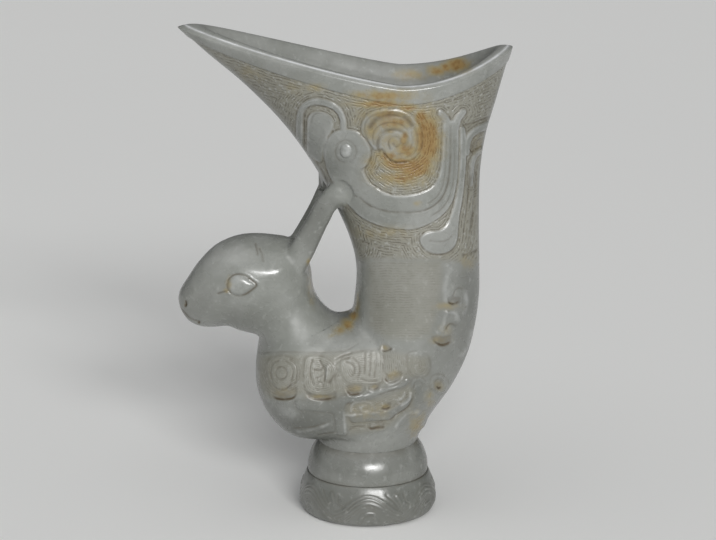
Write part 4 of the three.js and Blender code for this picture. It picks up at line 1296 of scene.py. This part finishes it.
class CUP_OT_materials(bpy.types.Operator):
    """Mixes the three finishes of the jade"""
    bl_idname = "cup.materials"
    bl_label = "Jade finishes"

    def execute(self, context):
        for slot in FINISHES:
            jade(slot, context.scene.cup_colours)
        return {"FINISHED"}


# Round the eye: half widths and height of the lid, half width and depth of the groove, how far each is grown from the
# eye's edge, and the dirt in the groove and in the head's other cuts.
LID, LID_GROWTH = (1.4, 1.4, 0.1), 1.17
EYE_GROOVE, EYE_GROOVE_GROWTH, EYE_GROOVE_DIRT = (0.85, 0.32), 1.03, 1.15
HEAD_LINE_DIRT, HEAD_POCKET_DIRT = 0.9, 1.3


class CUP_OT_body(bpy.types.Operator):
    """Sculpts the horn with the breast, the head and the ears from one block of stone and carves them"""
    bl_idname = "cup.body"
    bl_label = "Horn, head and ears"

    def execute(self, context):
        sizes = context.scene.cup_sizes
        block = stone_block(sizes.grain)
        cut(block, (0, 0, SEAT), (0, 0, 1), clear_inner=True, use_fill=True)
        block = cut_rim(block)
        ears = [take_off_ear(block, "left_ear_carved", 1), take_off_ear(block, "right_ear_carved", -1)]
        head = take_off_head(block)
        self.carve_head(head, sizes.carving)
        self.carve_horn(block, sizes.carving)
        for piece in (head, *ears, block):
            close_up(piece)
        self.finish_horn(block)
        for piece, node in zip((head, *ears), ("head", "left_ear", "right_ear")):
            finish_piece(piece, "polished_jade", node)
        return {"FINISHED"}

    def carve_head(self, head, depth):
        carving = Carving(drawing_place(points_of(head)))
        carving.bands({"lid": (*LID, self.round_eye(LID_GROWTH))})
        carving.lines(HEAD_LINES, HEAD_LINE_DIRT)
        carving.lines({"eye groove": (*EYE_GROOVE, self.round_eye(EYE_GROOVE_GROWTH))}, EYE_GROOVE_DIRT)
        carving.pockets(HEAD_POCKETS, HEAD_POCKET_DIRT)
        carve(head, carving, depth)

    def round_eye(self, grow):
        """The eye's edge, grown from its middle, as a closed run of places."""
        edge = np.array(EYE_EDGE + EYE_EDGE[:1], float)
        return mix(np.array(EYE_MIDDLE, float), edge, grow)

    def carve_horn(self, horn, depth):
        places = drawing_place(points_of(horn))
        carving = Carving(places)
        carving.bands(BANDS)
        carving.fields(FIELDS)
        carving.settle()
        carving.dirt_and_shade *= mix(1, LOW_FOOT_DIRT, smooth_step(*LOW_LINE, places[:, 1]))
        carving.lines(LINES)
        carving.ridges(RIDGES)
        carving.pockets(POCKETS)
        paint(horn, "skin", painted(horn, "skin") * clear_of_ears(points_of(horn)))
        square = carve(horn, carving, depth)
        upper, breast, stem, low = (
            share * smooth_step(-GROUND_FADE, GROUND_FADE, depth_inside(np.array(edge, float), places))
            for share, edge in (UPPER_GROUND, BREAST_GROUND, STEM_GROUND, LOW_GROUND))
        paint(horn, "ground", np.maximum(np.max([upper, stem, low], 0) * carving.bare(), breast) * square)
        rows = carving.ground_rows(RIM_LINE) * np.where(np.maximum(breast, low) > 0, BREAST_FINENESS, 1)
        paint(horn, "edge", np.where(stem > np.max([upper, breast, low], 0), places[:, 1], rows))
        # Pale edges of the upper raised shapes, for wear and as painted glints, and pale ridge crests as painted
        # glints.
        paint(horn, "wear_and_glint", np.maximum(carving.wear_and_glint() * upper, carving.crests) * square)
        paint(horn, "stain", patches(STAINS, places) * square)

    def finish_horn(self, horn):
        """Divides the horn from the top down into pieces of a handy size."""
        pieces = [horn]
        for name, height in HORN_SPLITS:
            cut(horn, (0, 0, SEAT + height), (0, 0, 1))
            pieces.append(take_off(horn, name, face_centres(horn)[:, 2] > SEAT + height))
            bridge_ends(pieces[-1])
            bridge_ends(horn)
        horn.name = horn.data.name = "horn_lower"
        for piece in pieces:
            finish_piece(piece, "carved_jade", "horn_cup")


# Domes: rows from the middle to the edge, points in each span of the edge, how deep the edge is let in and how late
# the dome falls to it, and how far the stone below is levelled.
DOME_ROWS, DOME_SPAN, DOME_LET_IN, DOME_FALL, DOME_LEVEL = 10, 6, 0.5, 6, 0.5
# How pale the eyes and the bosses are painted, and the points round a boss's edge.
EYE_PALENESS, BOSS_PALENESS, BOSS_POINTS = 0.8, 1.6, 12


def dome(name, obj, middle, edge, rise):
    """A smooth dome on obj, drawn as an outline round a middle place, with its edge let into the stone."""
    middle, edge = np.array(middle, float), closed_line(edge, DOME_SPAN)
    shares = np.sin(np.linspace(0, 0.5, DOME_ROWS) * math.pi)
    places = np.concatenate([mix(middle, edge, share) for share in shares])
    base, normals = drop_on(obj, places)
    out = unit(normals.mean(0))
    rings = base.reshape(DOME_ROWS, len(edge), 3)
    level = rings[-1].mean(0) @ out
    flat = rings - ((rings @ out) - mix(rings @ out, level, DOME_LEVEL))[..., None] * out
    height = rise * np.sqrt(1 - shares ** 2) - DOME_LET_IN * shares ** DOME_FALL
    rings = flat + height[:, None, None] * out
    rings = np.concatenate([rings, rings[-1:] - out * DOME_LET_IN * 2])
    return close_up(sheet(name, np.concatenate([rings, rings[:, :1]], 1)))


def set_pair(nodes, stone, middle, edge, rise, wear_and_glint):
    """Sets a dome into the left side of a stone, and its twin into the right side."""
    names = [f"{node}_carved" for node in nodes]
    left = dome(names[0], bpy.data.objects[stone], middle, edge, rise)
    paint(left, "wear_and_glint", np.full(len(left.data.vertices), wear_and_glint))
    for piece, node in zip((left, mirror_copy(left, names[1])), nodes):
        finish_piece(piece, "polished_jade", node)


class CUP_OT_eyes(bpy.types.Operator):
    """Sets the almond eyes into the head"""
    bl_idname = "cup.eyes"
    bl_label = "Eyes"

    def execute(self, context):
        rise = context.scene.cup_sizes.eye_rise
        set_pair(("left_eye", "right_eye"), "head_carved", EYE_MIDDLE, EYE_EDGE, rise, EYE_PALENESS)
        return {"FINISHED"}


class CUP_OT_bosses(bpy.types.Operator):
    """Sets the round bosses into the bird scrolls of the horn"""
    bl_idname = "cup.bosses"
    bl_label = "Bosses"

    def execute(self, context):
        turn = np.linspace(0, 2 * math.pi, BOSS_POINTS, endpoint=False)
        edge = np.stack([BOSS_WIDTH * np.cos(turn), BOSS_HEIGHT * np.sin(turn)], 1) + BOSS_MIDDLE
        rise = context.scene.cup_sizes.boss_rise
        set_pair(("left_boss", "right_boss"), "horn_upper", BOSS_MIDDLE, edge, rise, BOSS_PALENESS)
        return {"FINISHED"}


# The well's middle along the cup, how far its wall turns inwards where the polish is dull and the wall is painted in
# shade, and how much shade is painted there.
WELL_MIDDLE, WELL_FACING, WELL_SHADE = 15.0, (0.1, 0.5), 0.2
# The painted highlight along the crest of the lip: how strong, how wide to either side, and its row on the lip.
LIP_HIGHLIGHT, LIP_REACH, LIP_CREST = 0.9, 0.45, 7


class CUP_OT_rim(bpy.types.Operator):
    """Models the plain rim band with the lip, and the lining of the wine well"""
    bl_idname = "cup.rim"
    bl_label = "Rim and well"

    def execute(self, context):
        rows = lining_rows(context.scene.cup_sizes.band)
        rim = close_up(sheet("rim_and_well", rows))
        points = points_of(rim)
        # Painted highlight: a pale line along the crest of the lip.
        paint(rim, "lip", LIP_HIGHLIGHT * self.near_ring(points, rows[len(BAND_PROFILE) - 1 + LIP_CREST]))
        paint(rim, "stain", patches(STAINS, drawing_place(points, False)))
        finish_piece(rim, "carved_jade", "horn_cup")
        well = self.well(points, normals_of(rim))
        paint(rim, "dull", well)
        # Painted shade: the well's wall is darkened as well as dulled.
        paint(rim, "cloud_and_shade", np.maximum(painted(rim, "cloud_and_shade"), WELL_SHADE * well))
        return {"FINISHED"}

    def well(self, points, normals):
        """1 on the wall of the well, which has only a dull polish and is painted in shade."""
        away = unit((points - (WELL_MIDDLE, 0, 0))[:, :2])
        return smooth_step(*WELL_FACING, -(normals[:, :2] * away).sum(1))

    def near_ring(self, points, ring):
        """1 along a ring of points, fading out to either side."""
        tree = KDTree(len(ring))
        for index, place in enumerate(ring):
            tree.insert(place, index)
        tree.balance()
        return fall_off(np.array([tree.find(place)[2] for place in points]), LIP_REACH)


# The collar: columns and rows, share of its height where its side starts, how far its side bulges, and its lower edge
# as steps from the corner.
COLLAR_COLUMNS, COLLAR_ROWS, COLLAR_RISE, COLLAR_BULGE = 240, 40, 0.14, (0.05, 0.6)
COLLAR_EDGE = [(-0.2, 0), (-0.05, 0.06), (0, 0.2)]
# The base: columns and rows, inset of its sole, heights of its widest ring and of its shoulder, and its upper edge as
# steps from the corner of the collar.
BASE_COLUMNS, BASE_LOW_ROWS, BASE_HIGH_ROWS = 420, 24, 40
SOLE_INSET, SWELL_HEIGHT, SHOULDER_HEIGHT, LAP_GAP = 2.8, 5.2, 9.4, 0.07
BASE_EDGE = [(0.4, -0.3), (0.3, -0.1), (0.1, 0)]
# Dirt at the joint of collar and base, painted shade on the collar under the horn, and dirt in the waves, with how far
# the first two reach.
JOINT_DIRT, JOINT_REACH, SEAT_SHADE, SEAT_REACH, WAVE_DIRT = 0.5, 0.25, 0.4, 1.6, 0.6
# The waves on the base, laid out in millimetres along one wave and up the side.
SQUARES_PER_MM = 3.0
WAVE_COUNT, WAVE_WIDTH, WAVE_SINK, WAVE_SOLE, WAVE_TOP = 6, 24.0, 0.2, 0.6, (-0.2, -2.5)
WAVES = {
    "wave": (6.0, 6.0, 0.25, [(0, 2.6), (4, 4.6), (8, 8.2), (12, 9.8), (16, 8.4), (20, 5.0), (24, 2.6)]),
    "wave curl": (1.6, 1.2, 0.2, [(9.0, 2.2), (10.6, 5.0), (13.6, 5.4), (15.2, 3.4), (13.6, 2.2)]),
    "wave tip": (1.8, 1.2, 0.2, [(22.5, 10.8), (24, 8.0), (25, 6.0)]),
}
WAVE_LINES = {
    "wave line 1": (0.8, 0.16, [(0, 3.6), (4, 5.8), (8, 9.4), (12, 11), (16, 9.6), (20, 6.2), (24, 3.6)]),
    "wave line 2": (0.8, 0.16, [(0, 2.4), (4, 4.4), (8, 8.0), (12, 9.6), (16, 8.2), (20, 4.8), (24, 2.4)]),
    "wave line 3": (0.8, 0.16, [(0, 1.2), (4.4, 3.0), (8.3, 6.6), (12, 8.2), (15.7, 6.8), (19.6, 3.4), (24, 1.2)]),
    "tip line": (0.8, 0.14, [(18.5, 11.5), (21, 9), (22.6, 6.6)]),
    "tip line 2": (0.8, 0.14, [(1.0, 11.2), (1.6, 8.6), (3.2, 7.4)]),
}


def turned(name, profile, columns):
    """A solid turned round the foot's axis from a profile of (radius, height), closed to the axis at both ends."""
    (first, low), (last, high) = profile[0], profile[-1]
    profile = [(0, low), (first / 2, low), *profile, (last / 2, high), (0, high)]
    turn = np.linspace(0, 2 * math.pi, columns + 1)[None, :]
    radius, height = np.array(profile, float).T[:, :, None]
    rows = np.stack([radius * np.cos(turn), radius * np.sin(turn), height + 0 * turn], -1)
    return close_up(sheet(name, rows))


def bezier(start, control, end, count):
    t = np.linspace(0, 1, count)[:, None]
    a, b, c = (np.array(p, float) for p in (start, control, end))
    return a * (1 - t) ** 2 + 2 * b * t * (1 - t) + c * t ** 2


def in_squares(shapes):
    return {name: (*values, np.array(line) * SQUARES_PER_MM) for name, (*values, line) in shapes.items()}


class CUP_OT_foot(bpy.types.Operator):
    """Turns the plain collar and the swelling base of the foot, and carves the waves on the base"""
    bl_idname = "cup.foot"
    bl_label = "Foot"

    def execute(self, context):
        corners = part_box("foot_collar")
        low, radius = corners[0].z / MM, corners[1].x / MM
        self.collar(low, radius)
        self.base(low, radius)
        return {"FINISHED"}

    def collar(self, low, radius):
        top = -HORN.front[1][0]
        rise = mix(low, SEAT, COLLAR_RISE)
        bulge = (mix(radius, top, COLLAR_BULGE[0]), mix(rise, SEAT, COLLAR_BULGE[1]))
        edge = np.array(COLLAR_EDGE) + (radius, low)
        side = bezier((radius, rise), bulge, (top, SEAT), COLLAR_ROWS)
        collar = turned("foot_collar_turned", [*edge, *side], COLLAR_COLUMNS)
        up = points_of(collar)[:, 2]
        # Dirt at the joint below, and painted shade at the top, under the overhanging belly of the horn.
        dirt_and_shade = JOINT_DIRT * fall_off(up - low, JOINT_REACH) + SEAT_SHADE * fall_off(up - SEAT, SEAT_REACH)
        paint(collar, "dirt_and_shade", dirt_and_shade)
        finish_piece(collar, "polished_jade", "foot_collar")

    def base(self, top, neck):
        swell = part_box("foot_base")[1].x / MM
        sole, lap = swell - SOLE_INSET, top - LAP_GAP
        edge = np.array(BASE_EDGE) + (neck, lap)
        lower = bezier((sole, 0), (swell, 0), (swell, SWELL_HEIGHT), BASE_LOW_ROWS)
        upper = bezier((swell, SWELL_HEIGHT), (swell, SHOULDER_HEIGHT), edge[0], BASE_HIGH_ROWS)
        base = turned("foot_base_carved", [*lower, *upper[1:], *edge[1:]], BASE_COLUMNS)
        points = points_of(base)
        around = np.arctan2(points[:, 1], points[:, 0]) / (2 * math.pi) * WAVE_COUNT
        carving = Carving(np.stack([(around % 1) * WAVE_WIDTH, points[:, 2]], 1) * SQUARES_PER_MM)
        carving.bands(in_squares(WAVES))
        carving.settle()
        carving.lines(in_squares(WAVE_LINES))
        below = points[:, 2] - lap
        out = smooth_step(sole - WAVE_SOLE, sole, np.hypot(points[:, 0], points[:, 1])) * smooth_step(*WAVE_TOP, below)
        move_points(base, points + normals_of(base) * ((carving.height - WAVE_SINK) * out)[:, None])
        paint(base, "dirt_and_shade", np.maximum(WAVE_DIRT * carving.dirt_and_shade * out, JOINT_DIRT * fall_off(below, JOINT_REACH)))
        finish_piece(base, "dusky_jade", "foot_base")


# Lamps: how far each is turned from the camera's side, its height above the floor, its softness, and its level.
# The key is a row of lamps, spread to either side.
KEY = (math.radians(12), math.radians(24), math.radians(11), 0.8)
KEY_LAMPS, KEY_SPREAD = 3, math.radians(10)
TOP = (math.radians(-20), math.radians(75), math.radians(70), 0.25)
WORLD_TINT, WORLD_LEVEL = (0.94, 0.97, 1.0, 1.0), 0.1
# The floor: size in metres, shade of its patches, size of patches and of grain, roughness, and relief of the grain.
FLOOR_METRES, FLOOR_SHADE, FLOOR_PATCH, FLOOR_GRAIN, FLOOR_ROUGHNESS, FLOOR_RELIEF = 6, 0.98, 400, 3, 0.7, 0.02


class CUP_OT_stage(bpy.types.Operator):
    """Sets up the floor, the lamps and the camera"""
    bl_idname = "cup.stage"
    bl_label = "Stage"

    def execute(self, context):
        self.floor(context)
        for turn in np.linspace(-KEY_SPREAD, KEY_SPREAD, KEY_LAMPS):
            self.sun("key", KEY[0] + turn, KEY[1], KEY[2], KEY[3] / KEY_LAMPS)
        self.sun("top", *TOP)
        world = bpy.data.worlds.new("studio")
        world.use_nodes = True
        sky = world.node_tree.nodes["Background"].inputs
        sky["Color"].default_value = WORLD_TINT
        sky["Strength"].default_value = WORLD_LEVEL
        context.scene.world = world
        context.scene.view_settings.view_transform = "Standard"
        self.camera(context)
        return {"FINISHED"}

    def floor(self, context):
        show_only()
        bpy.ops.mesh.primitive_plane_add(size=FLOOR_METRES)
        floor = context.object
        floor.name = floor.data.name = "floor"
        shader = Shader("floor_finish")
        tone = np.array(context.scene.cup_colours.floor)
        colour = shader.blend(shader.noise(FLOOR_PATCH), tone * FLOOR_SHADE, tone)
        floor.data.materials.append(shader.finish(colour, FLOOR_ROUGHNESS, shader.noise(FLOOR_GRAIN), FLOOR_RELIEF))

    def sun(self, name, turn, height, softness, level):
        """A soft lamp of even level, turned from the camera's side of the cup and lifted above the floor."""
        bpy.ops.object.light_add(type="SUN", rotation=(math.pi / 2 - height, 0, turn))
        lamp = bpy.context.object
        lamp.name = name
        lamp.data.angle = softness
        lamp.data.energy = level * math.pi

    def camera(self, context):
        bpy.ops.object.camera_add(location=EYE_POINT * MM, rotation=(math.pi / 2 - VIEW_TILT, 0, 0))
        camera = context.object
        camera.data.sensor_fit = "HORIZONTAL"
        camera.data.lens = camera.data.sensor_width * DRAWING_FOCUS / DRAWING_WIDTH
        context.scene.camera = camera


OPERATORS = (CUP_OT_materials, CUP_OT_body, CUP_OT_rim, CUP_OT_eyes, CUP_OT_bosses, CUP_OT_foot, CUP_OT_stage)


class CUP_PT_panel(bpy.types.Panel):
    """Lists the steps and the sizes and colours that they use"""
    bl_idname = "CUP_PT_panel"
    bl_label = "Jade wine cup"
    bl_space_type = "VIEW_3D"
    bl_region_type = "UI"
    bl_category = "Wine Cup"

    def draw(self, context):
        for group in (context.scene.cup_sizes, context.scene.cup_colours):
            for key in group.__annotations__:
                self.layout.prop(group, key)
        for operator in OPERATORS:
            self.layout.operator(operator.bl_idname)


CLASSES = (CupSizes, CupColours, *OPERATORS, CUP_PT_panel)


def register():
    for cls in CLASSES:
        bpy.utils.register_class(cls)
    bpy.types.Scene.cup_sizes = PointerProperty(type=CupSizes)
    bpy.types.Scene.cup_colours = PointerProperty(type=CupColours)


def unregister():
    del bpy.types.Scene.cup_colours
    del bpy.types.Scene.cup_sizes
    for cls in reversed(CLASSES):
        bpy.utils.unregister_class(cls)


def main():
    register()
    bpy.ops.cup.materials()
    bpy.ops.cup.body()
    bpy.ops.cup.rim()
    bpy.ops.cup.eyes()
    bpy.ops.cup.bosses()
    bpy.ops.cup.foot()
    bpy.ops.cup.stage()


if __name__ == "__main__":
    main()
